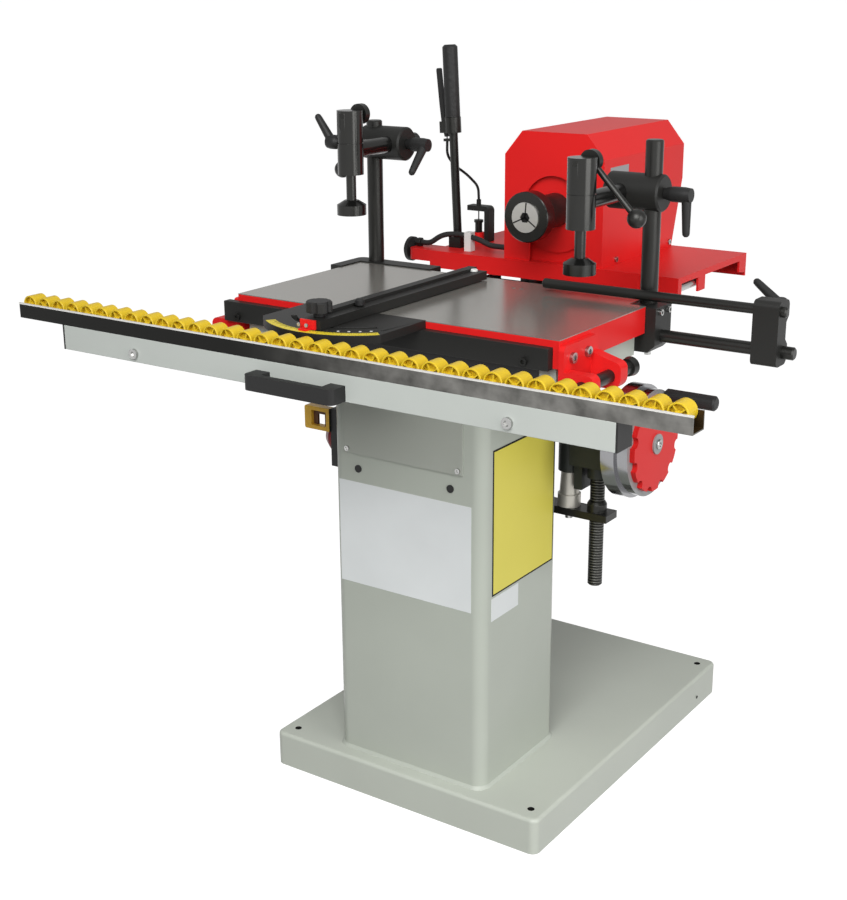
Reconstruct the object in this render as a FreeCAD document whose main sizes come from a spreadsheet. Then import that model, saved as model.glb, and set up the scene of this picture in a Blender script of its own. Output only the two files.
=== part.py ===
import FreeCAD, Part
import Sketcher
import math
import os

document = FreeCAD.newDocument("slot_mortiser")
sheet = document.addObject("Spreadsheet::Sheet", "Sizes")

sizes = {
    # clearances and small habits shared by all pieces
    "running_gap": 0.05,
    "part_gap": 0.5,
    "overrun": 2.0,
    "socket_share": 0.55,
    "socket_depth_share": 0.6,
    # floor base, a welded tray with four bolt tubes
    "base_width": 540.0,
    "base_depth": 700.0,
    "base_height": 63.0,
    "base_corner": 14.0,
    "base_edge": 6.0,
    "base_wall": 8.0,
    "anchor_radius": 6.0,
    "anchor_inset_x": 27.0,
    "anchor_inset_y": 30.0,
    "anchor_tube_radius": 20.0,
    # column, a square tube with rounded corners
    "column_width": 297.0,
    "column_depth": 239.0,
    "column_front": 320.0,
    "column_top": 775.0,
    "column_corner": 22.0,
    "column_wall": 6.0,
    "weld_size": 5.0,
    # cover plate on the column's front
    "cover_left": 122.0,
    "cover_right": 111.0,
    "cover_bottom": 609.0,
    "cover_top": 765.0,
    "cover_thickness": 3.0,
    "cover_screw_radius": 4.5,
    "cover_screw_inset": 8.0,
    "plug_radius": 6.5,
    "plug_height": 2.0,
    "plug_left": 94.0,
    "plug_right": 87.0,
    "plug_level": 584.0,
    # switch on the column's left side
    "switch_depth": 66.0,
    "switch_height": 100.0,
    "switch_thickness": 22.0,
    "switch_back": 228.0,
    "switch_top": 668.0,
    "button_radius": 28.0,
    "button_rise": 24.0,
    "button_level": 612.0,
    "button_stem_radius": 9.0,
    "button_stem_length": 14.0,
    "button_travel": 4.0,
    "flap_length": 52.0,
    "flap_height": 40.0,
    "flap_depth": 13.5,
    "flap_wall": 7.0,
    "flap_level": 648.0,
    "flap_overhang": 4.0,
    # bracket that carries the motor head behind the column
    "bracket_half": 105.0,
    "bracket_bottom": 745.0,
    "bracket_top": 774.0,
    "bracket_wall": 6.0,
    "bracket_reach": 200.0,
    "shelf_half": 160.0,
    "shelf_thickness": 7.0,
    "shelf_front": 155.0,
    "shelf_back": 342.0,
    "cross_rod_radius": 12.5,
    "cross_rod_front": 180.0,
    "cross_rod_back": 318.0,
    "cross_rod_level": 800.0,
    "rod_block_length": 18.0,
    "rod_block_depth": 38.0,
    "rod_block_top": 817.0,
    # plate with the lift nut and the two guide pillars
    "nut_plate_top": 485.0,
    "nut_plate_thickness": 13.0,
    "nut_plate_front": 60.0,
    "nut_plate_back": 20.0,
    "nut_plate_right": 228.0,
    "nut_plate_left": 172.0,
    "nut_plate_stem": 120.0,
    "nut_radius": 17.0,
    "nut_height": 18.0,
    "nut_cone": 5.0,
    "pillar_spacing": 292.0,
    "pillar_y": 40.0,
    "pillar_foot_radius": 20.0,
    "pillar_foot_height": 22.0,
    "pillar_neck_radius": 15.0,
    "pillar_neck_height": 40.0,
    "pillar_radius": 11.0,
    "pillar_top": 770.0,
    "pillar_bolt_radius": 7.0,
    "pillar_bolt_height": 10.0,
    # table
    "table_half": 301.5,
    "table_front": 363.0,
    "table_back": 29.5,
    "table_level": 860.0,
    "table_lip": 1.0,
    "skirt_bottom": 817.0,
    "skirt_wall": 11.5,
    "apron_bottom": 783.0,
    "apron_top": 846.0,
    "apron_wall": 6.0,
    "apron_back": 60.0,
    "apron_gap_half": 115.0,
    "table_hole_radius": 4.0,
    "table_hole_x": 55.0,
    "table_hole_y": 82.0,
    "table_hole_step": 15.0,
    # bar across the table's front
    "bar_overhang": 18.5,
    "bar_inset": 10.5,
    "bar_depth": 15.0,
    "bar_bottom": 816.0,
    "bar_height": 33.0,
    "bar_screw_left_inset": 11.5,
    "bar_screw_right_inset": 49.5,
    "bar_screw_level": 826.0,
    "bar_screw_radius": 6.0,
    "screw_height": 5.0,
    # castings that hold the support rods at the table's sides
    "casting_thickness": 9.0,
    "casting_front": 366.0,
    "casting_back": 262.0,
    "casting_top": 852.0,
    "casting_bolt_front": 342.0,
    "casting_bolt_back": 297.0,
    "casting_bolt_level": 832.0,
    "casting_bolt_radius": 8.0,
    "ear_radius": 19.0,
    "ear_length": 20.0,
    "arm_length": 22.0,
    "arm_rise": 16.0,
    # lift carriage
    "sleeve_radius": 20.0,
    "sleeve_bottom": 549.0,
    "sleeve_top": 742.0,
    "tie_bottom": 612.0,
    "tie_height": 28.0,
    "tie_half_depth": 7.0,
    "flange_width": 60.0,
    "flange_thickness": 10.0,
    "flange_bottom": 650.0,
    "flange_top": 812.0,
    "gear_box_left": 164.0,
    "gear_box_right": 240.0,
    "gear_box_depth": 72.0,
    "gear_box_bottom": 570.0,
    "gear_box_top": 672.0,
    "gear_box_wall": 7.0,
    "gear_box_corner": 14.0,
    "screw_sleeve_radius": 18.0,
    "screw_sleeve_bottom": 545.0,
    "guide_foot_left": 165.0,
    "guide_foot_width": 15.0,
    "guide_foot_bottom": 523.0,
    # lift screw, bevel gears and handwheel
    "screw_x": 200.0,
    "screw_radius": 12.5,
    "screw_bottom": 350.0,
    "screw_journal_radius": 11.0,
    "screw_collar": 5.0,
    "screw_chamfer": 2.0,
    "bevel_radius": 21.0,
    "bevel_depth": 12.0,
    "wheel_level": 622.0,
    "wheel_radius": 95.0,
    "wheel_left": 252.0,
    "wheel_step": 276.0,
    "wheel_right": 297.0,
    "wheel_step_radius": 89.0,
    "wheel_rim_radius": 72.0,
    "wheel_web_right": 284.0,
    "wheel_hub_radius": 22.0,
    "wheel_hub_left": 244.0,
    "wheel_shaft_radius": 10.0,
    "disc_thickness": 9.0,
    "disc_radius": 80.0,
    "disc_scallop": 9.0,
    "disc_hub_radius": 17.0,
    "disc_hub_height": 3.0,
    "crank_y": 44.0,
    "crank_rise": 70.0,
    "crank_radius": 12.5,
    "crank_length": 90.0,
    "crank_pin_radius": 5.0,
    "crank_pin_length": 78.0,
    "crank_round": 3.0,
    # post mountings
    "post_bar_overhang": 23.5,
    "post_bar_inset": 152.5,
    "post_bar_back": 5.0,
    "post_bar_wrap": 87.0,
    "post_bar_bottom": 830.0,
    "post_bar_top": 862.0,
    "block_inset": 30.5,
    "block_overhang": 17.5,
    "block_front": 92.0,
    "block_back": 36.0,
    "block_bottom": 786.0,
    "block_top": 858.0,
    "block_bevel": 12.0,
    "block_screw_inset": 14.0,
    "block_screw_drop": 8.0,
    "block_screw_radius": 5.0,
    "hex_bolt_radius": 6.0,
    "hex_bolt_height": 9.0,
    # posts, clamp barrels and arms
    "post_radius": 14.0,
    "post_top": 1112.0,
    "post_chamfer": 2.0,
    "post_seat": 826.0,
    "right_post_inset": 13.5,
    "right_post_y": 55.0,
    "left_post_inset": 23.5,
    "left_post_y": 12.0,
    "barrel_radius": 29.0,
    "barrel_edge": 3.0,
    "right_barrel_level": 1031.0,
    "left_barrel_level": 1074.0,
    "right_barrel_inner": 74.0,
    "right_barrel_outer": 20.0,
    "left_barrel_outer": 19.0,
    "left_barrel_inner": 71.0,
    "arm_radius": 14.0,
    "right_arm_offset": 45.0,
    "left_arm_offset": 45.0,
    "right_head_y": 203.0,
    "left_head_y": 141.5,
    "arm_tail": 58.0,
    "head_radius": 22.0,
    "head_bottom": 40.0,
    "head_split": 12.0,
    "head_top": 66.0,
    "head_groove": 1.5,
    "head_groove_depth": 1.5,
    "cam_rise": 58.0,
    "cam_radius": 17.0,
    "cam_half": 6.0,
    "cam_pin_radius": 4.0,
    "plunger_radius": 8.5,
    "plunger_top": 30.0,
    "plunger_travel": 10.0,
    "foot_radius": 25.0,
    "foot_top": 83.0,
    "foot_bottom": 108.0,
    "foot_neck_radius": 12.0,
    "foot_plate": 17.0,
    "cam_ball_radius": 14.5,
    "cam_rod_radius": 5.0,
    "right_ball_x": 78.0,
    "right_ball_drop": 22.0,
    "left_ball_x": 39.0,
    "left_ball_drop": 37.0,
    # ratchet levers
    "ratchet_hub_radius": 12.0,
    "ratchet_hub_height": 44.0,
    "ratchet_root_radius": 8.0,
    "lever_hub_height": 24.0,
    "ratchet_tip_radius": 6.0,
    "ratchet_length": 58.0,
    "ratchet_lean": 18.0,
    "head_lever_length": 48.0,
    # swing stop on the right
    "stop_low_y": 66.0,
    "stop_low_level": 810.0,
    "stop_low_radius": 10.0,
    "stop_low_inset": 3.0,
    "stop_low_end": 537.0,
    "end_block_left": 477.0,
    "end_block_right": 518.0,
    "end_block_front": 92.0,
    "end_block_back": 50.0,
    "end_block_bottom": 790.0,
    "end_block_top": 890.0,
    "end_block_waist": 9.0,
    "end_block_corner": 10.0,
    "stop_high_y": 80.0,
    "stop_high_level": 874.5,
    "stop_high_radius": 8.0,
    "stop_high_start": 111.0,
    "stop_high_end": 527.0,
    "stop_lever_length": 56.0,
    # mitre gauge
    "gauge_x": 38.6,
    "gauge_y": 377.0,
    "gauge_radius": 150.0,
    "gauge_left": 155.0,
    "gauge_right": 72.0,
    "gauge_back": 363.5,
    "gauge_top": 861.5,
    "gauge_slot_radius": 103.0,
    "gauge_slot_half": 4.5,
    "gauge_slot_angle": 100.0,
    "gauge_hole_radius": 2.5,
    "gauge_hole_circle": 124.0,
    "fence_left": 53.5,
    "fence_right": 17.0,
    "fence_front": 505.0,
    "fence_back": 51.0,
    "fence_bottom": 862.0,
    "fence_thickness": 14.0,
    "fence_strip": 16.0,
    "fence_strip_rise": 5.0,
    "fence_pin_radius": 6.0,
    "fence_pin_length": 9.0,
    "pointer_length": 16.0,
    "pointer_thickness": 3.0,
    "pointer_half": 14.0,
    "knob_radius": 20.0,
    "knob_height": 16.0,
    "knob_stem_radius": 9.0,
    "knob_stem_height": 7.0,
    "knob_bolt_radius": 4.0,
    "knob_lobe": 6.0,
    # front support with its roller rail
    "beam_half": 500.0,
    "beam_front": 565.0,
    "beam_depth": 40.0,
    "beam_bottom": 782.0,
    "beam_top": 822.0,
    "beam_wall": 3.0,
    "cap_thickness": 3.0,
    "rail_half": 600.0,
    "rail_depth": 33.0,
    "rail_height": 24.5,
    "rail_wall": 2.0,
    "roller_radius": 15.0,
    "roller_length": 27.0,
    "roller_level": 845.0,
    "roller_first": 577.5,
    "roller_pitch": 33.0,
    "roller_pin_radius": 2.2,
    "roller_rim": 2.5,
    "roller_recess": 8.0,
    "support_rod_offset": 38.5,
    "support_rod_level": 796.0,
    "support_rod_radius": 10.0,
    "support_rod_end": 227.0,
    "support_cap_radius": 15.0,
    "support_cap_length": 13.0,
    "support_bolt_radius": 8.0,
    "handle_left": 91.0,
    "handle_right": 73.0,
    "handle_bottom": 783.0,
    "handle_height": 23.0,
    "handle_reach": 32.0,
    "handle_bar": 12.0,
    "handle_foot": 26.0,
    # cross carriage
    "carriage_half": 55.0,
    "carriage_front": 160.0,
    "carriage_back": 338.0,
    "carriage_bottom": 783.0,
    "carriage_step": 817.0,
    "carriage_top": 858.0,
    "bushing_front": 190.0,
    "bushing_back": 294.0,
    "guide_rod_x": 38.0,
    "guide_rod_radius": 10.0,
    "guide_rod_level": 845.0,
    # motor head
    "plate_half": 258.0,
    "plate_left": 250.0,
    "plate_front": 118.0,
    "plate_back": 408.0,
    "plate_top": 864.0,
    "plate_thickness": 4.0,
    "plate_skirt": 832.0,
    "plate_lug": 828.0,
    "plate_back_skirt": 822.0,
    "plate_cut_top": 853.0,
    "cut_one_front": 132.0,
    "cut_one_back": 200.0,
    "cut_two_front": 228.0,
    "cut_two_back": 378.0,
    "depth_rod_x": 245.0,
    "depth_rod_radius": 8.0,
    "depth_rod_back": 215.0,
    "depth_rod_level": 842.0,
    "side_arm_left": 300.0,
    "side_arm_right": 192.0,
    "side_arm_back": 170.0,
    "side_arm_bottom": 843.0,
    "side_arm_round": 12.0,
    "arm_knob_radius": 23.0,
    "arm_knob_height": 14.0,
    "arm_knob_level": 858.0,
    "hood_half": 99.5,
    "hood_front": 124.0,
    "hood_top": 1093.0,
    "hood_shoulder": 1051.0,
    "hood_flat": 64.5,
    "hood_back": 440.0,
    "hood_back_low": 988.0,
    "hood_back_foot": 403.0,
    "hood_wall": 3.0,
    "hood_opening": 60.0,
    "hood_slot_half": 46.5,
    "hood_screw_front": 177.0,
    "hood_screw_back": 392.0,
    "hood_screw_level": 873.0,
    "hood_screw_radius": 5.0,
    "spindle_x": 9.0,
    "spindle_level": 958.0,
    "motor_radius": 76.0,
    "motor_front": 134.0,
    "motor_back": 385.0,
    "motor_foot_half": 62.0,
    "nose_radius": 30.0,
    "nose_front": 67.3,
    "nose_round": 4.0,
    "spindle_radius": 12.0,
    "spindle_depth": 40.0,
    "chuck_front": 31.0,
    "chuck_radius": 43.5,
    "chuck_neck_radius": 30.0,
    "chuck_neck": 10.0,
    "chuck_bevel": 1.5,
    "jaw_radius": 26.0,
    "jaw_rise": 3.0,
    "tool_radius": 8.0,
    "tool_depth": 30.0,
    # operating lever, leaning a little to the left
    "lever_x": 225.5,
    "lever_y": 178.0,
    "lever_lean": 2.9,
    "lever_radius": 8.0,
    "lever_length": 366.0,
    "lever_foot_half": 13.0,
    "lever_foot_height": 20.0,
    "grip_radius": 14.0,
    "grip_start": 241.0,
    "grip_clamp_start": 212.0,
    "grip_clamp_half": 15.0,
    "hand_lever_offset": 18.5,
    "hand_lever_pivot": 226.0,
    "hand_lever_tail": 14.7,
    "hand_lever_low": 205.0,
    "hand_lever_mid": 21.8,
    "hand_lever_bend": 262.0,
    "hand_lever_tip": 25.9,
    "hand_lever_top": 329.0,
    "hand_lever_half": 4.0,
    "ear_wall": 3.0,
    "wire_lug_level": 196.5,
    "wire_lug_half": 5.0,
    "collar_radius": 4.5,
    "collar_height": 11.0,
    "cable_unit": 100.0,
    "cable_bracket_left": 252.0,
    "cable_bracket_right": 203.0,
    "cable_bracket_y": 260.0,
    "cable_bracket_top": 932.0,
    "cable_bracket_half": 11.0,
    "cable_bracket_thickness": 10.0,
    "cable_bracket_corner": 9.0,
    "index_x": 232.0,
    "index_radius": 7.0,
    "index_head": 9.0,
    "index_head_height": 5.0,
    "index_top": 904.0,
    "index_guide_radius": 11.0,
    "index_guide_height": 16.0,
    "wire_radius": 1.2,
    "bowden_radius": 2.5,
    "motor_cable_radius": 5.0,
    "gland_radius": 9.0,
    "gland_height": 9.0,
    "gland_x": 287.0,
    "gland_y": 146.0,
    "clip_x": 182.0,
    "clip_y": 150.0,
    "clip_half": 7.0,
    "clip_height": 36.0,
    "clip_thickness": 16.0,
}


class Size:
    def __init__(self, value, text):
        self.value = value
        self.text = text

    def __add__(self, other):
        other = size_of(other)
        return Size(self.value + other.value, "(" + self.text + " + " + other.text + ")")

    def __sub__(self, other):
        other = size_of(other)
        return Size(self.value - other.value, "(" + self.text + " - " + other.text + ")")

    def __mul__(self, other):
        other = size_of(other)
        return Size(self.value * other.value, "(" + self.text + " * " + other.text + ")")

    def __truediv__(self, other):
        other = size_of(other)
        return Size(self.value / other.value, "(" + self.text + " / " + other.text + ")")

    def __neg__(self):
        return Size(-self.value, "(0 - " + self.text + ")")


def size_of(value):
    if isinstance(value, Size):
        return value
    return Size(float(value), "(" + str(value) + ")")


class Names:
    pass


n = Names()
for row, (name, value) in enumerate(sizes.items(), start=1):
    sheet.set("A" + str(row), name)
    sheet.set("B" + str(row), str(value))
    sheet.setAlias("B" + str(row), name)
document.recompute()
for name in sizes:
    setattr(n, name, Size(float(sheet.get(name)), "Sizes." + name))

turns = {
    "X": FreeCAD.Rotation(FreeCAD.Vector(0, 1, 0), 90),
    "Y": FreeCAD.Rotation(FreeCAD.Vector(1, 0, 0), -90),
    "Z": FreeCAD.Rotation(),
    "-X": FreeCAD.Rotation(FreeCAD.Vector(0, 1, 0), -90),
    "-Y": FreeCAD.Rotation(FreeCAD.Vector(1, 0, 0), 90),
    "-Z": FreeCAD.Rotation(FreeCAD.Vector(1, 0, 0), 180),
}
origin = (0, 0, 0)


def put(thing, at, along="Z", spin=0.0):
    rotation = turns[along].multiply(FreeCAD.Rotation(FreeCAD.Vector(0, 0, 1), spin))
    places = [size_of(place) for place in at]
    base = FreeCAD.Vector(*[place.value for place in places])
    thing.Placement = FreeCAD.Placement(base, rotation)
    for axis, place in zip("xyz", places):
        thing.setExpression("Placement.Base." + axis, place.text)
    return thing


def box(name, x, y, z):
    thing = document.addObject("Part::Box", name)
    for side, (low, high) in zip(("Length", "Width", "Height"), (x, y, z)):
        thing.setExpression(side, (size_of(high) - size_of(low)).text)
    return put(thing, (x[0], y[0], z[0]))


def rod(name, radius, length, at=origin, along="Z", spin=0.0):
    thing = document.addObject("Part::Cylinder", name)
    thing.setExpression("Radius", radius.text)
    thing.setExpression("Height", length.text)
    return put(thing, at, along, spin)


def cone(name, radius_one, radius_two, length, at=origin, along="Z", spin=0.0):
    thing = document.addObject("Part::Cone", name)
    thing.setExpression("Radius1", radius_one.text)
    thing.setExpression("Radius2", radius_two.text)
    thing.setExpression("Height", length.text)
    return put(thing, at, along, spin)


def ball(name, radius, at, along="Z"):
    thing = document.addObject("Part::Sphere", name)
    thing.setExpression("Radius", radius.text)
    return put(thing, at, along)


# a round bar between two points
def strut(name, radius, start, end):
    start = [size_of(place) for place in start]
    spans = [size_of(place) - before for place, before in zip(end, start)]
    thing = document.addObject("Part::Cylinder", name)
    thing.setExpression("Radius", radius.text)
    thing.setExpression("Height", "sqrt(" + " + ".join("(%s)^2" % span.text for span in spans) + ")")
    heading = FreeCAD.Vector(*[span.value for span in spans])
    thing.Placement = FreeCAD.Placement(FreeCAD.Vector(*[place.value for place in start]),
                                        FreeCAD.Rotation(FreeCAD.Vector(0, 0, 1), heading))
    for axis, place in zip("xyz", start):
        thing.setExpression("Placement.Base." + axis, place.text)
    return thing


def join(name, pieces):
    thing = document.addObject("Part::MultiFuse", name)
    thing.Shapes = pieces
    thing.Refine = True
    return thing


def group(name, pieces):
    thing = document.addObject("Part::Compound", name)
    thing.Links = pieces
    return thing


def carve(name, base, tools):
    thing = document.addObject("Part::Cut", name)
    thing.Base = base
    thing.Tool = tools[0] if len(tools) == 1 else join(name + "_tools", tools)
    thing.Refine = True
    return thing


def shared(name, pieces):
    thing = document.addObject("Part::MultiCommon", name)
    thing.Shapes = pieces
    return thing


class Ring:
    def __init__(self, x, y, radius):
        self.x = size_of(x)
        self.y = size_of(y)
        self.radius = size_of(radius)


def trace_ring(sketch, ring):
    centre = FreeCAD.Vector(ring.x.value, ring.y.value, 0)
    circle = Part.Circle(centre, FreeCAD.Vector(0, 0, 1), ring.radius.value)
    index = sketch.addGeometry(circle, False)
    pin(sketch, index, 3, ring.x, ring.y)
    place = sketch.addConstraint(Sketcher.Constraint("Radius", index, ring.radius.value))
    sketch.setExpression("Constraints[%d]" % place, ring.radius.text)


def pin(sketch, index, end, x, y):
    for kind, size in (("DistanceX", x), ("DistanceY", y)):
        rule = Sketcher.Constraint(kind, -1, 1, index, end, size.value)
        place = sketch.addConstraint(rule)
        sketch.setExpression("Constraints[%d]" % place, size.text)


def corner_arc(before, corner, after, radius):
    back = (before - corner).normalize()
    ahead = (after - corner).normalize()
    half = back.getAngle(ahead) / 2
    reach = radius / math.tan(half)
    start = corner + back * reach
    end = corner + ahead * reach
    middle = (back + ahead).normalize()
    centre = corner + middle * (radius / math.sin(half))
    left = (corner - before).cross(after - corner).z > 0
    first, last = (start, end) if left else (end, start)
    low = math.atan2(first.y - centre.y, first.x - centre.x)
    high = math.atan2(last.y - centre.y, last.x - centre.x)
    if high < low:
        high = high + 2 * math.pi
    circle = Part.Circle(centre, FreeCAD.Vector(0, 0, 1), radius)
    return start, end, left, Part.ArcOfCircle(circle, low, high)


def trace_outline(sketch, outline):
    corners = [[size_of(size) for size in corner] for corner in outline]
    points = [FreeCAD.Vector(corner[0].value, corner[1].value, 0) for corner in corners]
    count = len(points)
    starts = list(points)
    ends = list(points)
    arcs = {}
    for place, corner in enumerate(corners):
        if len(corner) == 3:
            before, after = points[place - 1], points[(place + 1) % count]
            arc = corner_arc(before, points[place], after, corner[2].value)
            ends[place], starts[place] = arc[0], arc[1]
            arcs[place] = arc
    lines = []
    for place in range(count):
        line = Part.LineSegment(starts[place], ends[(place + 1) % count])
        lines.append(sketch.addGeometry(line, False))
    for place, corner in enumerate(corners):
        before, after = lines[place - 1], lines[place]
        if place not in arcs:
            sketch.addConstraint(Sketcher.Constraint("Coincident", before, 2, after, 1))
            pin(sketch, after, 1, corner[0], corner[1])
            continue
        left, arc = arcs[place][2], arcs[place][3]
        bend = sketch.addGeometry(arc, False)
        first, last = (1, 2) if left else (2, 1)
        sketch.addConstraint(Sketcher.Constraint("Tangent", before, 2, bend, first))
        sketch.addConstraint(Sketcher.Constraint("Tangent", bend, last, after, 1))
        rule = sketch.addConstraint(Sketcher.Constraint("Radius", bend, corner[2].value))
        sketch.setExpression("Constraints[%d]" % rule, corner[2].text)
        point = sketch.addGeometry(Part.Point(points[place]), True)
        sketch.addConstraint(Sketcher.Constraint("PointOnObject", point, 1, before))
        sketch.addConstraint(Sketcher.Constraint("PointOnObject", point, 1, after))
        pin(sketch, point, 1, corner[0], corner[1])


def draw(body, plane, level, loops):
    sketch = body.newObject("Sketcher::SketchObject", body.Name + "_sketch")
    for feature in body.Origin.OriginFeatures:
        if feature.Role == plane + "_Plane":
            sketch.AttachmentSupport = [(feature, "")]
    sketch.MapMode = "FlatFace"
    sketch.setExpression("AttachmentOffset.Base.z", size_of(level).text)
    for loop in loops:
        if isinstance(loop, Ring):
            trace_ring(sketch, loop)
        else:
            trace_outline(sketch, loop)
    return sketch


# a straight slab: the outline lies in the plane, the slab runs from low to high across it
def slab(name, plane, loops, low, high):
    low = size_of(low)
    high = size_of(high)
    body = document.addObject("PartDesign::Body", name)
    level = -high if plane == "XZ" else low
    sketch = draw(body, plane, level, loops)
    pad = body.newObject("PartDesign::Pad", name + "_pad")
    pad.Profile = sketch
    pad.setExpression("Length", (high - low).text)
    return body


# a turned piece: the profile holds (radius, height) corners, height runs along the axis
def turned(name, profile, at=origin, along="Z", spin=0.0):
    body = document.addObject("PartDesign::Body", name)
    sketch = draw(body, "XZ", 0, [profile])
    turn = body.newObject("PartDesign::Revolution", name + "_turn")
    turn.Profile = sketch
    turn.ReferenceAxis = (sketch, ["V_Axis"])
    turn.Angle = 360
    return put(body, at, along, spin)


def soften(body, radius, wanted, kind="Fillet"):
    document.recompute()
    base = body.Tip
    edges = ["Edge%d" % place for place, edge in enumerate(base.Shape.Edges, 1) if wanted(edge)]
    feature = body.newObject("PartDesign::" + kind, body.Name + "_" + kind.lower())
    feature.Base = (base, edges)
    feature.setExpression("Radius" if kind == "Fillet" else "Size", radius.text)
    body.Tip = feature
    return body


def level_edge(height):
    def wanted(edge):
        bounds = edge.BoundBox
        return abs(bounds.ZMin - height.value) < 0.001 and abs(bounds.ZMax - height.value) < 0.001
    return wanted


def screw(name, radius, height, at, along):
    head = rod(name + "_head", radius, height)
    socket = document.addObject("Part::Prism", name + "_socket")
    socket.setExpression("Circumradius", (radius * n.socket_share).text)
    socket.setExpression("Height", height.text)
    put(socket, (0, 0, height - height * n.socket_depth_share))
    return put(carve(name, head, [socket]), at, along)


def cord(name, radius, points, bend_share=0.45):
    points = [FreeCAD.Vector(*point) for point in points]
    edges = []
    start = points[0]
    for before, corner, after in zip(points, points[1:], points[2:]):
        back = before - corner
        ahead = after - corner
        reach = min(back.Length, ahead.Length) * bend_share
        turn = math.pi - back.getAngle(ahead)
        bend = reach / math.tan(turn / 2)
        back.normalize()
        ahead.normalize()
        first = corner + back * reach
        last = corner + ahead * reach
        middle = (back + ahead).normalize()
        rise = bend / math.cos(turn / 2) - bend
        edges.append(Part.LineSegment(start, first).toShape())
        edges.append(Part.Arc(first, corner + middle * rise, last).toShape())
        print(name, "bend radius", round(bend, 1), "turn", round(math.degrees(turn), 1))
        start = last
    edges.append(Part.LineSegment(start, points[-1]).toShape())
    path = Part.Wire(edges)
    heading = (points[1] - points[0]).normalize()
    ring = Part.Wire([Part.Circle(points[0], heading, radius.value).toShape()])
    shape = path.makePipeShell([ring], True, True)
    thing = document.addObject("Part::Feature", name)
    thing.Shape = shape
    print(name, "length", round(path.Length, 1), "share of section times length",
          round(shape.Volume / (math.pi * radius.value ** 2 * path.Length), 4))
    return thing


nodes = []


def keep(thing):
    nodes.append(thing)
    return thing


# floor base
half_width = n.base_width / 2
half_depth = n.base_depth / 2
base_outline = [
    (-half_width, -half_depth, n.base_corner),
    (half_width, -half_depth, n.base_corner),
    (half_width, half_depth, n.base_corner),
    (-half_width, half_depth, n.base_corner),
]
inner_x = half_width - n.base_wall
inner_y = half_depth - n.base_wall
base_inside = [(-inner_x, -inner_y), (inner_x, -inner_y), (inner_x, inner_y), (-inner_x, inner_y)]
anchors = []
for side in (-1, 1):
    for end in (-1, 1):
        anchors.append(((half_width - n.anchor_inset_x) * side, (half_depth - n.anchor_inset_y) * end))
base_block = slab("base_block", "XY", [base_outline], 0, n.base_height)
soften(base_block, n.base_edge, level_edge(n.base_height))
base_hollow = slab("base_hollow", "XY", [base_inside], -n.overrun, n.base_height - n.base_wall)
base_tubes = []
for place, (x, y) in enumerate(anchors):
    base_tubes.append(rod("base_tube%d" % place, n.anchor_tube_radius, n.base_height - n.base_edge,
                          (x, y, 0)))
base_shell = carve("base_shell", base_block, [base_hollow])
base_holes = []
for place, (x, y) in enumerate(anchors):
    base_holes.append(rod("base_hole%d" % place, n.anchor_radius, n.base_height + n.overrun * 2,
                          (x, y, -n.overrun)))
keep(carve("base_plate", join("base_body", [base_shell] + base_tubes), base_holes))

# column, closed at the top, welded all round its foot
column_side = n.column_width / 2
column_back = n.column_front - n.column_depth


def column_outline(grow, corner):
    return [
        (-column_side - grow, -n.column_front - grow, corner),
        (column_side + grow, -n.column_front - grow, corner),
        (column_side + grow, -column_back + grow, corner),
        (-column_side - grow, -column_back + grow, corner),
    ]


outside = column_outline(n.column_wall * 0, n.column_corner)
inside = column_outline(-n.column_wall, n.column_corner - n.column_wall)
column_tube = slab("column_tube", "XY", [outside, inside], n.base_height, n.column_top - n.column_wall)
column_lid = slab("column_lid", "XY", [outside], n.column_top - n.column_wall, n.column_top)
bead_outline = column_outline(n.weld_size, n.column_corner + n.weld_size)
column_bead = slab("column_bead", "XY", [bead_outline], n.base_height, n.base_height + n.weld_size)
bead_share = 0.98
soften(column_bead, n.weld_size * bead_share, level_edge(n.base_height + n.weld_size), "Chamfer")
column_core = slab("column_core", "XY", [inside], 0, n.base_height + n.weld_size * 2)
column_body = join("column_body", [column_tube, column_lid, carve("column_ring", column_bead, [column_core])])

# bore in the left wall for the push button's stem
switch_middle = n.switch_back + n.switch_depth / 2
button_bore = rod("button_bore", n.button_stem_radius + n.running_gap * 4, n.column_wall * 3,
                  (-column_side - n.column_wall, -switch_middle, n.button_level), "X")
keep(carve("column", column_body, [button_bore]))

cover_front = n.column_front + n.cover_thickness
keep(box("column_cover", (-n.cover_left, n.cover_right), (-cover_front, -n.column_front),
         (n.cover_bottom, n.cover_top)))
fasteners = []
for place, x in enumerate((n.cover_screw_inset - n.cover_left, n.cover_right - n.cover_screw_inset)):
    spot = (x, -cover_front, n.cover_bottom + n.cover_screw_inset)
    fasteners.append(screw("cover_screw%d" % place, n.cover_screw_radius, n.cover_thickness, spot, "-Y"))
for place, x in enumerate((-n.plug_left, n.plug_right)):
    spot = (x, -n.column_front, n.plug_level)
    fasteners.append(rod("plug%d" % place, n.plug_radius, n.plug_height, spot, "-Y"))
for side in (-1, 1):
    spot = (n.pillar_spacing / 2 * side, -n.pillar_y, n.nut_plate_top - n.nut_plate_thickness)
    fasteners.append(screw("pillar_bolt%d" % side, n.pillar_bolt_radius, n.pillar_bolt_height, spot, "-Z"))
keep(group("column_fasteners", fasteners))

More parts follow.
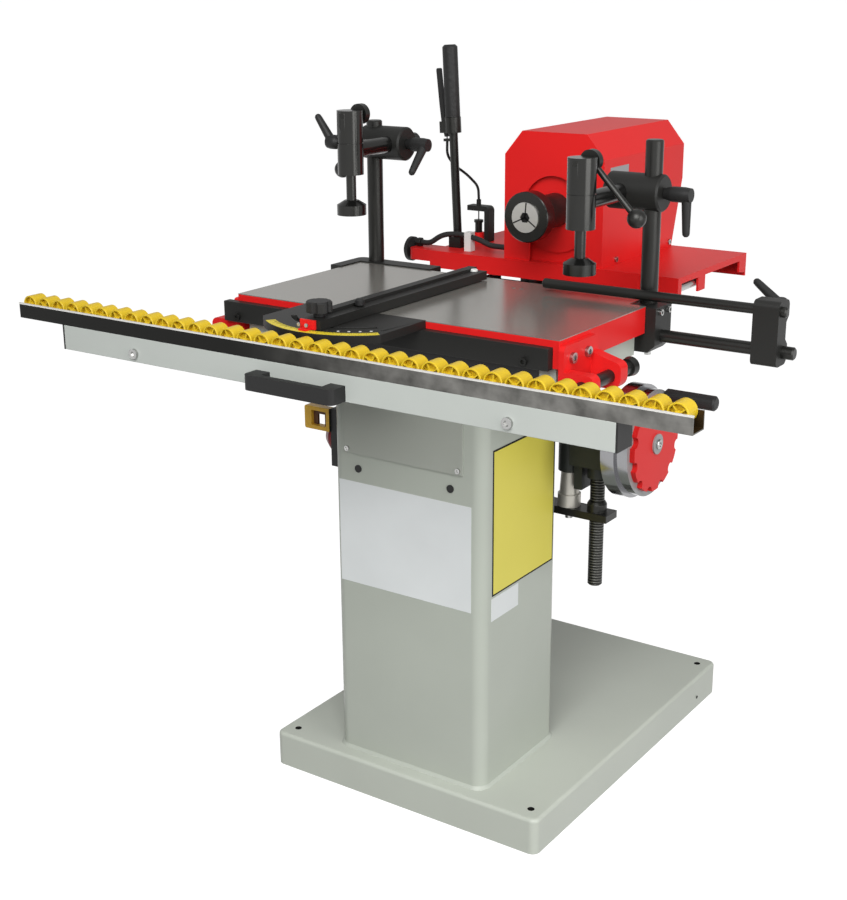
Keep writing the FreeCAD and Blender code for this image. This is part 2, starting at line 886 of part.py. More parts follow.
# switch with its guard loop and push button
switch_face = -column_side - n.switch_thickness
switch_block = box("switch_block", (switch_face, -column_side),
                   (-n.switch_back - n.switch_depth, -n.switch_back),
                   (n.switch_top - n.switch_height, n.switch_top))
switch_bore = rod("switch_bore", n.button_stem_radius + n.running_gap, n.switch_thickness * 2,
                  (switch_face - n.overrun, -switch_middle, n.button_level), "X")
flap_top = n.flap_level + n.flap_height / 2
flap_low = n.flap_level - n.flap_height / 2
flap_outer = [
    (switch_face - n.flap_length, flap_low, n.flap_wall / 2),
    (switch_face, flap_low),
    (switch_face, flap_top),
    (switch_face - n.flap_length, flap_top, n.flap_wall / 2),
]
flap_inner = [
    (switch_face - n.flap_length + n.flap_wall * 2, flap_low + n.flap_wall),
    (switch_face - n.flap_wall, flap_low + n.flap_wall),
    (switch_face - n.flap_wall, flap_top - n.flap_wall),
    (switch_face - n.flap_length + n.flap_wall * 2, flap_top - n.flap_wall),
]
flap_front = -n.switch_back - n.switch_depth - n.flap_overhang
switch_flap = slab("switch_flap", "XZ", [flap_outer, flap_inner], flap_front, flap_front + n.flap_depth)
keep(group("switch_housing", [carve("switch_base", switch_block, [switch_bore]), switch_flap]))
button_shares = {"edge": 0.25, "edge_round": 0.2, "crown": 0.6, "crown_rise": 0.85, "crown_round": 0.4}
button_gap = n.button_travel + n.part_gap
keep(turned("switch_button", [
    (0, -n.button_stem_length - button_gap),
    (n.button_stem_radius, -n.button_stem_length - button_gap),
    (n.button_stem_radius, 0),
    (n.button_radius, 0),
    (n.button_radius, n.button_rise * button_shares["edge"], n.button_rise * button_shares["edge_round"]),
    (n.button_radius * button_shares["crown"], n.button_rise * button_shares["crown_rise"],
     n.button_rise * button_shares["crown_round"]),
    (0, n.button_rise),
], (switch_face - button_gap, -switch_middle, n.button_level), "-X"))


def rectangle(x, y):
    return [(x[0], y[0]), (x[1], y[0]), (x[1], y[1]), (x[0], y[1])]


# bracket behind the column: a flat box tube, a shelf and the two cross rods in their blocks
tube_half = n.bracket_half - n.bracket_wall
tube_outer = rectangle((-n.bracket_half, n.bracket_half), (n.bracket_bottom, n.bracket_top))
tube_inner = rectangle((-tube_half, tube_half),
                       (n.bracket_bottom + n.bracket_wall, n.bracket_top - n.bracket_wall))
bracket = [slab("bracket_tube", "XZ", [tube_outer, tube_inner], -column_back, n.bracket_reach)]
shelf_top = n.bracket_top + n.shelf_thickness
bracket.append(box("bracket_shelf", (-n.shelf_half, n.shelf_half), (n.shelf_front, n.shelf_back),
                   (n.bracket_top, shelf_top)))
cross_bores = []
cross_rods = []
for place, y in enumerate((n.cross_rod_front, n.cross_rod_back)):
    ends = ((-n.shelf_half, -n.shelf_half + n.rod_block_length),
            (n.shelf_half - n.rod_block_length, n.shelf_half))
    for side, reach in enumerate(ends):
        bracket.append(box("rod_block%d%d" % (place, side), reach,
                           (y - n.rod_block_depth / 2, y + n.rod_block_depth / 2),
                           (shelf_top, n.rod_block_top)))
    start = (-n.shelf_half, y, n.cross_rod_level)
    cross_rods.append(rod("cross_rod%d" % place, n.cross_rod_radius, n.shelf_half * 2, start, "X"))
    start = (-n.shelf_half - n.overrun, y, n.cross_rod_level)
    cross_bores.append(rod("cross_bore%d" % place, n.cross_rod_radius,
                           n.shelf_half * 2 + n.overrun * 2, start, "X"))
bracket_frame = carve("bracket_frame", join("bracket_body", bracket), cross_bores)
keep(group("rear_bracket", [bracket_frame] + cross_rods))

# plate with the lift nut, and the two guide pillars that stand on it
plate_low = n.nut_plate_top - n.nut_plate_thickness
screw_bore = n.screw_radius + n.running_gap
nut_outline = [
    (-n.nut_plate_left, -n.nut_plate_front),
    (-n.nut_plate_stem, -n.nut_plate_front),
    (-n.nut_plate_stem, -column_back),
    (n.nut_plate_stem, -column_back),
    (n.nut_plate_stem, -n.nut_plate_front),
    (n.nut_plate_right, -n.nut_plate_front),
    (n.nut_plate_right, -n.nut_plate_back),
    (-n.nut_plate_left, -n.nut_plate_back),
]
screw_ring = Ring(n.screw_x, -n.pillar_y, screw_bore)
nut_body = slab("nut_body", "XY", [nut_outline, screw_ring], plate_low, n.nut_plate_top)
nut_top_share = 0.6
lift_nut = turned("lift_nut", [
    (screw_bore, 0),
    (n.nut_radius, 0),
    (n.nut_radius, n.nut_height - n.nut_cone),
    (n.nut_radius - n.nut_cone * nut_top_share, n.nut_height),
    (screw_bore, n.nut_height),
], (n.screw_x, -n.pillar_y, n.nut_plate_top))
keep(join("nut_plate", [nut_body, lift_nut]))

pillar_x = n.pillar_spacing / 2
neck_top = n.pillar_foot_height + n.pillar_neck_height
neck_foot_share = 1.15
pillars = []
for side in (-1, 1):
    pillars.append(turned("pillar%d" % side, [
        (0, 0),
        (n.pillar_foot_radius, 0),
        (n.pillar_foot_radius, n.pillar_foot_height),
        (n.pillar_neck_radius * neck_foot_share, n.pillar_foot_height),
        (n.pillar_neck_radius, neck_top),
        (n.pillar_radius, neck_top),
        (n.pillar_radius, n.pillar_top - n.nut_plate_top),
        (0, n.pillar_top - n.nut_plate_top),
    ], (pillar_x * side, -n.pillar_y, n.nut_plate_top)))
keep(group("guide_pillars", pillars))

# table: apron, skirt and steel top, with a notch for the right-hand post block
inner_half = n.table_half - n.skirt_wall
bar_left = n.table_half + n.bar_overhang
bar_right = n.table_half - n.bar_inset
block_left = n.table_half - n.block_inset
block_right = n.table_half + n.block_overhang
right_post_x = n.table_half - n.right_post_inset
left_post_x = n.table_half - n.left_post_inset
post_bar_left = n.table_half + n.post_bar_overhang
post_bar_right = n.table_half - n.post_bar_inset
right_barrel_start = right_post_x - n.right_barrel_inner
right_barrel_end = right_post_x + n.right_barrel_outer
left_barrel_start = left_post_x + n.left_barrel_outer
left_barrel_end = left_post_x - n.left_barrel_inner
right_arm_x = right_post_x - n.right_arm_offset
left_arm_x = left_post_x - n.left_arm_offset
support_rod_x = n.table_half + n.support_rod_offset
stop_low_start = block_left + n.stop_low_inset
apron_front = n.table_front - n.skirt_wall
apron_outline = [
    (-inner_half, -apron_front),
    (inner_half, -apron_front),
    (inner_half, -n.apron_back),
    (n.apron_gap_half, -n.apron_back),
    (n.apron_gap_half, -n.apron_back - n.apron_wall),
    (inner_half - n.apron_wall, -n.apron_back - n.apron_wall),
    (inner_half - n.apron_wall, -apron_front + n.apron_wall),
    (n.apron_wall - inner_half, -apron_front + n.apron_wall),
    (n.apron_wall - inner_half, -n.apron_back - n.apron_wall),
    (-n.apron_gap_half, -n.apron_back - n.apron_wall),
    (-n.apron_gap_half, -n.apron_back),
    (-inner_half, -n.apron_back),
]
apron = slab("apron", "XY", [apron_outline], n.apron_bottom, n.apron_top)
apron_notch = box("apron_notch", (block_left - n.skirt_wall, n.table_half),
                  (-n.block_front - n.skirt_wall, -n.block_back + n.overrun),
                  (n.apron_bottom - n.overrun, n.apron_top + n.overrun))
keep(carve("table_frame", apron, [apron_notch]))


def table_outline(inset):
    return [
        (-n.table_half + inset, -n.table_front + inset),
        (n.table_half - inset, -n.table_front + inset),
        (n.table_half - inset, -n.block_front - inset),
        (block_left - inset, -n.block_front - inset),
        (block_left - inset, -n.table_back - inset),
        (-n.table_half + inset, -n.table_back - inset),
    ]


lip_low = n.table_level - n.table_lip
keep(slab("table_skirt", "XY", [table_outline(0), table_outline(n.skirt_wall)],
          n.skirt_bottom, lip_low))
top_lip = slab("top_lip", "XY", [table_outline(0)], lip_low, n.table_level)
top_core = slab("top_core", "XY", [table_outline(n.skirt_wall)], n.apron_top, lip_low)
top_holes = []
for place in range(2):
    spot = (n.table_hole_x + n.table_hole_step * place, -n.table_hole_y, n.apron_top - n.overrun)
    depth = n.table_level - n.apron_top + n.overrun * 2
    top_holes.append(rod("top_hole%d" % place, n.table_hole_radius, depth, spot))
keep(carve("table_top", join("top_body", [top_lip, top_core]), top_holes))

bar_front = n.table_front + n.bar_depth
bar_top = n.bar_bottom + n.bar_height
keep(box("front_bar", (-bar_left, bar_right), (-bar_front, -n.table_front), (n.bar_bottom, bar_top)))

# castings that guide the support rods
rod_bore = n.support_rod_radius + n.running_gap
ear_edge = support_rod_x + n.ear_radius
ear_low = n.support_rod_level - n.ear_radius
casting_face = n.table_half + n.casting_thickness
ear_shares = {"low_round": 0.9, "high_round": 0.6}
castings = []
for side in (-1, 1):
    label = "left" if side < 0 else "right"
    low, high = (-casting_face, -n.table_half) if side < 0 else (n.table_half, casting_face)
    plate = slab("casting_plate_" + label, "YZ", [[
        (-n.casting_front, ear_low),
        (-n.casting_back, ear_low),
        (-n.casting_back, n.casting_top, n.casting_thickness),
        (-n.casting_front, n.casting_top, n.casting_thickness),
    ]], low, high)
    pieces = [plate]
    reaches = (
        (-n.casting_front, n.ear_length, 0),
        (-n.casting_back - n.arm_length, n.arm_length, n.arm_rise),
    )
    for place, (start, length, rise) in enumerate(reaches):
        ear_top = n.support_rod_level + n.ear_radius + rise
        pieces.append(slab("ear_%s%d" % (label, place), "XZ", [[
            (n.table_half * side, ear_low),
            (ear_edge * side, ear_low, n.ear_radius * ear_shares["low_round"]),
            (ear_edge * side, n.support_rod_level + n.ear_radius, n.ear_radius * ear_shares["high_round"]),
            (n.table_half * side, ear_top),
        ]], start, start + length))
    bore = rod("rod_bore_" + label, rod_bore, n.casting_front - n.casting_back + n.overrun * 2,
               (support_rod_x * side, -n.casting_front - n.overrun, n.support_rod_level), "Y")
    cuts = [bore]
    if side < 0:
        cuts.append(box("bar_clear", (-bar_left - n.part_gap, -n.table_half + n.overrun),
                        (-bar_front - n.part_gap, -n.table_front + n.part_gap),
                        (n.bar_bottom - n.part_gap, n.casting_top + n.overrun)))
    castings.append(carve("casting_" + label, join("casting_body_" + label, pieces), cuts))
keep(group("side_brackets", castings))

# lift carriage: two sleeves, tie, flanges to the apron and the bevel gear box
sleeve_height = n.sleeve_top - n.sleeve_bottom
carriage = [box("lift_tie", (-pillar_x, pillar_x),
                (-n.pillar_y - n.tie_half_depth, -n.pillar_y + n.tie_half_depth),
                (n.tie_bottom, n.tie_bottom + n.tie_height))]
carriage_bores = []
for side in (-1, 1):
    spot = (pillar_x * side, -n.pillar_y, n.sleeve_bottom)
    carriage.append(rod("lift_sleeve%d" % side, n.sleeve_radius, sleeve_height, spot))
    middle = pillar_x * side
    carriage.append(box("lift_flange%d" % side, (middle - n.flange_width / 2, middle + n.flange_width / 2),
                        (-n.apron_back, -n.apron_back + n.flange_thickness), (n.flange_bottom, n.flange_top)))
    spot = (pillar_x * side, -n.pillar_y, n.sleeve_bottom - n.overrun)
    carriage_bores.append(rod("pillar_bore%d" % side, n.pillar_radius + n.running_gap,
                              n.flange_top - n.sleeve_bottom + n.overrun * 2, spot))
box_front = -n.pillar_y - n.gear_box_depth / 2
box_back = -n.pillar_y + n.gear_box_depth / 2
carriage.append(slab("gear_box", "XZ", [[
    (n.gear_box_left, n.gear_box_bottom),
    (n.gear_box_right, n.gear_box_bottom, n.gear_box_corner),
    (n.gear_box_right, n.gear_box_top, n.gear_box_corner),
    (n.gear_box_left, n.gear_box_top),
]], box_front, box_back))
carriage.append(rod("screw_sleeve", n.screw_sleeve_radius,
                    n.gear_box_bottom - n.screw_sleeve_bottom + n.overrun,
                    (n.screw_x, -n.pillar_y, n.screw_sleeve_bottom)))
carriage.append(box("guide_foot", (n.guide_foot_left, n.guide_foot_left + n.guide_foot_width),
                    (-n.pillar_y - n.sleeve_radius, -n.pillar_y + n.sleeve_radius),
                    (n.guide_foot_bottom, n.gear_box_bottom + n.overrun)))
box_floor = n.gear_box_bottom + n.gear_box_wall
carriage_bores.append(box("gear_box_hollow",
                          (n.gear_box_left + n.gear_box_wall, n.gear_box_right - n.gear_box_wall),
                          (box_front + n.gear_box_wall, box_back - n.gear_box_wall),
                          (box_floor, n.gear_box_top - n.gear_box_wall)))
carriage_bores.append(rod("journal_bore", n.screw_journal_radius + n.running_gap,
                          box_floor - n.screw_sleeve_bottom + n.overrun * 2,
                          (n.screw_x, -n.pillar_y, n.screw_sleeve_bottom - n.overrun)))
shaft_bore_start_share = 1.5
carriage_bores.append(rod("shaft_bore", n.wheel_shaft_radius + n.running_gap, n.gear_box_wall * 2,
                          (n.gear_box_right - n.gear_box_wall * shaft_bore_start_share,
                           -n.pillar_y, n.wheel_level), "X"))
keep(carve("lift_carriage", join("carriage_body", carriage), carriage_bores))

# lift screw with its bevel gear inside the box
thread_top = n.screw_sleeve_bottom - n.part_gap - n.screw_bottom
thrust = box_floor + n.part_gap - n.screw_bottom
gear_radius = n.bevel_radius - n.part_gap
gear_low = n.wheel_level - n.bevel_radius - n.screw_bottom
gear_hub_share = 0.6
gear_hub = n.screw_journal_radius + n.screw_collar * gear_hub_share
keep(turned("lead_screw", [
    (0, 0),
    (n.screw_radius - n.screw_chamfer, 0),
    (n.screw_radius, n.screw_chamfer),
    (n.screw_radius, thread_top),
    (n.screw_journal_radius, thread_top),
    (n.screw_journal_radius, thrust),
    (gear_hub, thrust),
    (gear_hub, gear_low),
    (gear_radius, gear_low),
    (gear_radius - n.bevel_depth, gear_low + n.bevel_depth),
    (0, gear_low + n.bevel_depth),
], (n.screw_x, -n.pillar_y, n.screw_bottom)))

# handwheel with its shaft and bevel gear, turned about the X axis
axle_end = n.screw_x + n.bevel_radius
wheel_body = turned("wheel_body", [
    (0, axle_end - n.bevel_depth),
    (gear_radius - n.bevel_depth, axle_end - n.bevel_depth),
    (gear_radius, axle_end),
    (gear_hub, axle_end),
    (gear_hub, n.gear_box_right - n.gear_box_wall - n.part_gap),
    (n.wheel_shaft_radius, n.gear_box_right - n.gear_box_wall - n.part_gap),
    (n.wheel_shaft_radius, n.wheel_hub_left),
    (n.wheel_hub_radius, n.wheel_hub_left),
    (n.wheel_hub_radius, n.wheel_web_right),
    (n.wheel_rim_radius, n.wheel_web_right),
    (n.wheel_rim_radius, n.wheel_left),
    (n.wheel_radius, n.wheel_left),
    (n.wheel_radius, n.wheel_step),
    (n.wheel_step_radius, n.wheel_step),
    (n.wheel_step_radius, n.wheel_right),
    (0, n.wheel_right),
], (0, -n.pillar_y, n.wheel_level), "X")
crank_spot_y = -n.pillar_y + n.crank_y
crank_spot_z = n.wheel_level + n.crank_rise
crank_pin = rod("crank_pin", n.crank_pin_radius, n.crank_pin_length + n.overrun,
                (n.wheel_right - n.overrun, crank_spot_y, crank_spot_z), "X")
keep(join("handwheel", [wheel_body, crank_pin]))
crank_bore = n.crank_pin_radius + n.running_gap
keep(turned("crank_grip", [
    (crank_bore, 0),
    (n.crank_radius - n.crank_round, 0),
    (n.crank_radius, n.crank_round),
    (n.crank_radius, n.crank_length - n.crank_round),
    (n.crank_radius - n.crank_round, n.crank_length),
    (0, n.crank_length),
    (0, n.crank_pin_length + n.overrun),
    (crank_bore, n.crank_pin_length + n.overrun),
], (n.wheel_right + n.part_gap, crank_spot_y, crank_spot_z), "X"))

# scalloped disc on the handwheel's face
disc_blank = rod("disc_blank", n.disc_radius, n.disc_thickness,
                 (n.wheel_right, -n.pillar_y, n.wheel_level), "X")
disc_hub = rod("disc_hub", n.disc_hub_radius, n.disc_hub_height,
               (n.wheel_right + n.disc_thickness, -n.pillar_y, n.wheel_level), "X")
scallops = []
scallop_count = 12
for place in range(scallop_count):
    angle = 2 * math.pi * (place + 0.5) / scallop_count
    spot = (n.wheel_right - n.overrun, -n.pillar_y + n.disc_radius * round(math.cos(angle), 5),
            n.wheel_level + n.disc_radius * round(math.sin(angle), 5))
    scallops.append(rod("scallop%d" % place, n.disc_scallop, n.disc_thickness + n.overrun * 2, spot, "X"))
scallops.append(rod("crank_clearance", n.crank_radius + n.part_gap, n.disc_thickness + n.overrun * 2,
                    (n.wheel_right - n.overrun, crank_spot_y, crank_spot_z), "X"))
keep(carve("handwheel_disc", join("disc_body", [disc_blank, disc_hub]), scallops))

# mountings of the two posts
post_bore = n.post_radius + n.running_gap
left_ring = Ring(-left_post_x, -n.left_post_y, post_bore)
post_bar = slab("post_bar", "XY", [[
    (-post_bar_left, -n.post_bar_wrap),
    (-n.table_half, -n.post_bar_wrap),
    (-n.table_half, -n.table_back),
    (-post_bar_right, -n.table_back),
    (-post_bar_right, n.post_bar_back),
    (-post_bar_left, n.post_bar_back, n.block_bevel),
], left_ring], n.post_bar_bottom, n.post_bar_top)
post_block = slab("post_block", "XZ", [[
    (block_left, n.block_bottom + n.block_bevel),
    (block_left + n.block_bevel, n.block_bottom),
    (block_right - n.block_bevel, n.block_bottom),
    (block_right, n.block_bottom + n.block_bevel),
    (block_right, n.block_top),
    (block_left, n.block_top),
]], -n.block_front, -n.block_back)
block_bores = [
    rod("post_seat_bore", post_bore, n.block_top - n.post_seat + n.overrun,
        (right_post_x, -n.right_post_y, n.post_seat)),
    rod("stop_seat_bore", n.stop_low_radius, block_right - stop_low_start + n.overrun,
        (stop_low_start, -n.stop_low_y, n.stop_low_level), "X"),
]
keep(group("post_brackets", [post_bar, carve("post_block_bored", post_block, block_bores)]))

# screw heads that go with the table
heads = []
bar_screws = (n.bar_screw_left_inset - n.table_half, n.table_half - n.bar_screw_right_inset)
for place, x in enumerate(bar_screws):
    spot = (x, -bar_front, n.bar_screw_level)
    heads.append(screw("bar_screw%d" % place, n.bar_screw_radius, n.screw_height, spot, "-Y"))
for side in (-1, 1):
    for place, y in enumerate((n.casting_bolt_front, n.casting_bolt_back)):
        spot = (casting_face * side, -y, n.casting_bolt_level)
        label = "casting_bolt%d%d" % (side, place)
        heads.append(screw(label, n.casting_bolt_radius, n.screw_height, spot, "X" if side > 0 else "-X"))
for place, y in enumerate((n.block_front - n.block_screw_inset, n.block_back + n.block_screw_inset)):
    spot = (block_right, -y, n.block_top - n.block_screw_drop)
    heads.append(screw("block_screw%d" % place, n.block_screw_radius, n.screw_height, spot, "X"))
hex_bolt = document.addObject("Part::Prism", "hex_bolt")
hex_bolt.setExpression("Circumradius", n.hex_bolt_radius.text)
hex_bolt.setExpression("Height", n.hex_bolt_height.text)
put(hex_bolt, ((block_left + block_right) / 2, -n.stop_low_y, n.block_bottom), "-Z")
keep(group("table_screws", heads + [hex_bolt]))


def bevelled_rod(name, radius, bevel, length, at, along="Z"):
    return turned(name, [
        (0, 0),
        (radius - bevel, 0),
        (radius, bevel),
        (radius, length - bevel),
        (radius - bevel, length),
        (0, length),
    ], at, along)


# a ratchet lever: round hub, tapered arm leaning away from the seat, ball tip
ratchet_shares = {
    "seat": 0.7, "waist": 0.3, "band": 0.75, "crown": 0.9,
    "tip_start": 0.2, "tip_side": 0.9, "tip_low": 0.55, "tip_flat": 0.5,
}


def ratchet(name, height, length, lean, at, along, spin):
    hub = turned(name + "_hub", [
        (0, 0),
        (n.ratchet_hub_radius * ratchet_shares["seat"], 0),
        (n.ratchet_hub_radius, height * ratchet_shares["waist"]),
        (n.ratchet_hub_radius, height * ratchet_shares["band"]),
        (n.ratchet_hub_radius * ratchet_shares["crown"], height),
        (0, height),
    ])
    tip_radius = n.ratchet_tip_radius
    bar = turned(name + "_arm", [
        (0, 0),
        (n.ratchet_root_radius, 0),
        (tip_radius, length - tip_radius * ratchet_shares["tip_start"]),
        (tip_radius * ratchet_shares["tip_side"], length + tip_radius * ratchet_shares["tip_low"]),
        (tip_radius * ratchet_shares["tip_flat"], length + tip_radius),
        (0, length + tip_radius),
    ])
    bar.Placement = FreeCAD.Placement(
        FreeCAD.Vector(0, 0, (height - n.ratchet_root_radius).value),
        FreeCAD.Rotation(FreeCAD.Vector(0, 1, 0), 90 - lean))
    bar.setExpression("Placement.Base.z", (height - n.ratchet_root_radius).text)
    return put(join(name, [hub, bar]), at, along, spin)


cam_pin_share = 1.5


# one clamp: post, barrel, arm with its head, plunger and cam lever
def clamp(label, side, post_x, post_y, seat, level, start, end, arm_x, head_y, ball_x, ball_drop):
    keep(put(turned("post_" + label, [
        (0, 0),
        (n.post_radius, 0),
        (n.post_radius, n.post_top - seat - n.post_chamfer),
        (n.post_radius - n.post_chamfer, n.post_top - seat),
        (0, n.post_top - seat),
    ]), (post_x, -post_y, seat)))
    barrel = bevelled_rod("barrel_body_" + label, n.barrel_radius, n.barrel_edge, end - start,
                          (start, -post_y, level), "X")
    reach = n.barrel_radius + n.overrun
    bores = [
        rod("barrel_post_bore_" + label, post_bore, reach * 2, (post_x, -post_y, level - reach)),
        rod("barrel_arm_bore_" + label, n.arm_radius + n.running_gap, reach * 2,
            (arm_x, -post_y - reach, level), "Y"),
    ]
    keep(carve("barrel_" + label, barrel, bores))
    bar = rod("arm_bar_" + label, n.arm_radius, head_y - post_y + n.arm_tail, (arm_x, -head_y, level), "Y")
    groove = n.head_bottom + n.head_split
    head = turned("arm_head_" + label, [
        (0, 0),
        (n.head_radius, 0),
        (n.head_radius, groove),
        (n.head_radius - n.head_groove_depth, groove),
        (n.head_radius - n.head_groove_depth, groove + n.head_groove),
        (n.head_radius, groove + n.head_groove),
        (n.head_radius, n.head_bottom + n.head_top),
        (0, n.head_bottom + n.head_top),
    ], (arm_x, -head_y, level - n.head_bottom))
    pin_reach = n.head_radius + n.overrun
    holes = [
        rod("plunger_bore_" + label, n.plunger_radius + n.running_gap,
            n.head_bottom + n.plunger_top + n.plunger_travel + n.overrun + n.part_gap,
            (arm_x, -head_y, level - n.head_bottom - n.overrun)),
        rod("cam_bore_" + label, n.cam_pin_radius + n.running_gap, pin_reach * 2,
            (arm_x, -head_y - pin_reach, level + n.cam_rise), "Y"),
    ]
    keep(carve("arm_" + label, join("arm_body_" + label, [bar, head]), holes))
    keep(turned("plunger_" + label, [
        (0, 0),
        (n.foot_radius, 0),
        (n.foot_radius, n.foot_plate),
        (n.foot_neck_radius, n.foot_bottom - n.foot_top),
        (n.plunger_radius, n.foot_bottom - n.foot_top),
        (n.plunger_radius, n.foot_bottom + n.plunger_top),
        (0, n.foot_bottom + n.plunger_top),
    ], (arm_x, -head_y, level - n.foot_bottom)))
    cam_face = n.head_radius + n.part_gap
    cam_y = -head_y + cam_face
    centre_z = level + n.cam_rise
    disc = rod("cam_disc_" + label, n.cam_radius, n.cam_half * 2, (arm_x, cam_y, centre_z), "Y")
    pivot = rod("cam_pin_" + label, n.cam_pin_radius,
                cam_face + n.head_radius + n.cam_half * cam_pin_share,
                (arm_x, -head_y - n.head_radius, centre_z), "Y")
    drop = n.cam_rise + ball_drop
    stem = strut("cam_stem_" + label, n.cam_rod_radius, (arm_x, cam_y + n.cam_half, centre_z),
                 (arm_x + ball_x * side, cam_y + n.cam_half, centre_z - drop))
    knob = ball("cam_ball_" + label, n.cam_ball_radius,
                (arm_x + ball_x * side, cam_y + n.cam_half, centre_z - drop), "Y")
    keep(join("cam_lever_" + label, [disc, pivot, stem, knob]))


clamp("right", 1, right_post_x, n.right_post_y, n.post_seat, n.right_barrel_level,
      right_barrel_start, right_barrel_end, right_arm_x, n.right_head_y,
      n.right_ball_x, n.right_ball_drop)
clamp("left", -1, -left_post_x, n.left_post_y, n.post_bar_bottom, n.left_barrel_level,
      -left_barrel_start, -left_barrel_end, -left_arm_x, n.left_head_y,
      n.left_ball_x, n.left_ball_drop)
drop_lean_share = 0.1
right_spin = 0.0
left_spin = -45.0
keep(ratchet("ratchet_right", n.ratchet_hub_height, n.ratchet_length, n.ratchet_lean.value * drop_lean_share,
             (right_barrel_end + n.part_gap, -n.right_post_y, n.right_barrel_level), "X", right_spin))
keep(ratchet("ratchet_left", n.ratchet_hub_height, n.ratchet_length, n.ratchet_lean.value * drop_lean_share,
             (n.part_gap - left_barrel_end, -n.left_post_y, n.left_barrel_level), "X", left_spin))
head_lean_share = 2
keep(ratchet("head_lever_left", n.lever_hub_height, n.head_lever_length,
             n.ratchet_lean.value * head_lean_share,
             (-left_arm_x - n.head_radius - n.part_gap, -n.left_head_y, n.left_barrel_level + n.head_split),
             "-X", 0.0))

# swing stop: lower rod, end block, upper rod and clamp lever
keep(bevelled_rod("stop_rod_lower", n.stop_low_radius, n.post_chamfer, n.stop_low_end - stop_low_start,
                  (stop_low_start, -n.stop_low_y, n.stop_low_level), "X"))
waist_low = n.stop_low_level + n.end_block_corner
waist_high = n.stop_high_level - n.end_block_corner
end_outline = [
    (-n.end_block_front, n.end_block_bottom, n.end_block_corner),
    (-n.end_block_back, n.end_block_bottom, n.end_block_corner),
    (-n.end_block_back, waist_low),
    (-n.end_block_back - n.end_block_waist, waist_low + n.end_block_waist),
    (-n.end_block_back - n.end_block_waist, waist_high - n.end_block_waist),
    (-n.end_block_back, waist_high),
    (-n.end_block_back, n.end_block_top, n.end_block_corner),
    (-n.end_block_front, n.end_block_top, n.end_block_corner),
]
low_ring = Ring(-n.stop_low_y, n.stop_low_level, n.stop_low_radius)
high_ring = Ring(-n.stop_high_y, n.stop_high_level, n.stop_high_radius + n.running_gap)
keep(slab("stop_end_block", "YZ", [end_outline, low_ring, high_ring], n.end_block_left, n.end_block_right))
keep(bevelled_rod("stop_rod_upper", n.stop_high_radius, n.post_chamfer, n.stop_high_end - n.stop_high_start,
                  (n.stop_high_start, -n.stop_high_y, n.stop_high_level), "X"))
keep(ratchet("stop_lever", n.lever_hub_height, n.stop_lever_length, n.ratchet_lean.value,
             ((n.end_block_left + n.end_block_right) / 2, n.part_gap - n.end_block_back, n.stop_high_level),
             "Y", 210.0))

# mitre gauge plate with its curved slot
gauge_low = bar_top
gauge_height = n.gauge_top - gauge_low
gauge_box = box("gauge_box", (-n.gauge_left, n.gauge_right),
                (-n.gauge_y - n.gauge_radius - n.overrun, -n.gauge_back), (gauge_low, n.gauge_top))
gauge_disc = rod("gauge_disc", n.gauge_radius, gauge_height, (-n.gauge_x, -n.gauge_y, gauge_low))
gauge_spin = -90.0 - n.gauge_slot_angle.value / 2
slot_outer = rod("slot_outer", n.gauge_slot_radius + n.gauge_slot_half, gauge_height + n.overrun * 2,
                 (-n.gauge_x, -n.gauge_y, gauge_low - n.overrun), "Z", gauge_spin)
slot_inner = rod("slot_inner", n.gauge_slot_radius - n.gauge_slot_half, gauge_height + n.overrun * 4,
                 (-n.gauge_x, -n.gauge_y, gauge_low - n.overrun * 2))
slot_outer.setExpression("Angle", n.gauge_slot_angle.text)
gauge_cuts = [carve("gauge_slot", slot_outer, [slot_inner])]
gauge_cuts.append(rod("gauge_pin_bore", n.fence_pin_radius + n.running_gap, gauge_height + n.overrun * 2,
                      (-n.gauge_x, -n.gauge_y, gauge_low - n.overrun)))
for place in range(7):
    angle = math.radians(-84 + 7.5 * place)
    spot = (-n.gauge_x + n.gauge_hole_circle * round(math.cos(angle), 5),
            -n.gauge_y + n.gauge_hole_circle * round(math.sin(angle), 5), gauge_low - n.overrun)
    gauge_cuts.append(rod("gauge_hole%d" % place, n.gauge_hole_radius, gauge_height + n.overrun * 2, spot))
keep(carve("protractor_plate", shared("gauge_blank", [gauge_box, gauge_disc]), gauge_cuts))

# fence bar, its raised strip, its pivot pin and the red pointer at its front end
fence_top = n.fence_bottom + n.fence_thickness
knob_y = n.gauge_y + n.gauge_slot_radius
strip_front = knob_y - n.knob_radius - n.overrun
fence_bar = box("fence_body", (-n.fence_left, -n.fence_right), (-n.fence_front, -n.fence_back),
                (n.fence_bottom, fence_top))
fence_strip = box("fence_strip_bar", (-n.fence_left, -n.fence_left + n.fence_strip),
                  (-strip_front, -n.fence_back), (fence_top, fence_top + n.fence_strip_rise))
fence_pin = rod("fence_pin", n.fence_pin_radius, n.fence_pin_length + n.overrun,
                (-n.gauge_x, -n.gauge_y, n.fence_bottom - n.fence_pin_length))
knob_bore = rod("knob_bore", n.knob_bolt_radius + n.running_gap, n.fence_thickness + n.overrun * 2,
                (-n.gauge_x, -knob_y, n.fence_bottom - n.overrun))
fence_body = carve("fence_drilled", join("fence_joined", [fence_bar, fence_strip, fence_pin]), [knob_bore])
pointer_tab = box("pointer_tab", (-n.gauge_x - n.pointer_half, -n.gauge_x + n.pointer_half),
                  (-n.fence_front - n.pointer_thickness, -n.fence_front), (n.fence_bottom, fence_top))
pointer_tongue = box("pointer_tongue", (-n.gauge_x - n.pointer_half / 2, -n.gauge_x + n.pointer_half / 2),
                     (-n.fence_front - n.pointer_length, -n.fence_front),
                     (n.fence_bottom, n.fence_bottom + n.pointer_thickness))
keep(group("fence_bar", [fence_body, join("pointer", [pointer_tab, pointer_tongue])]))

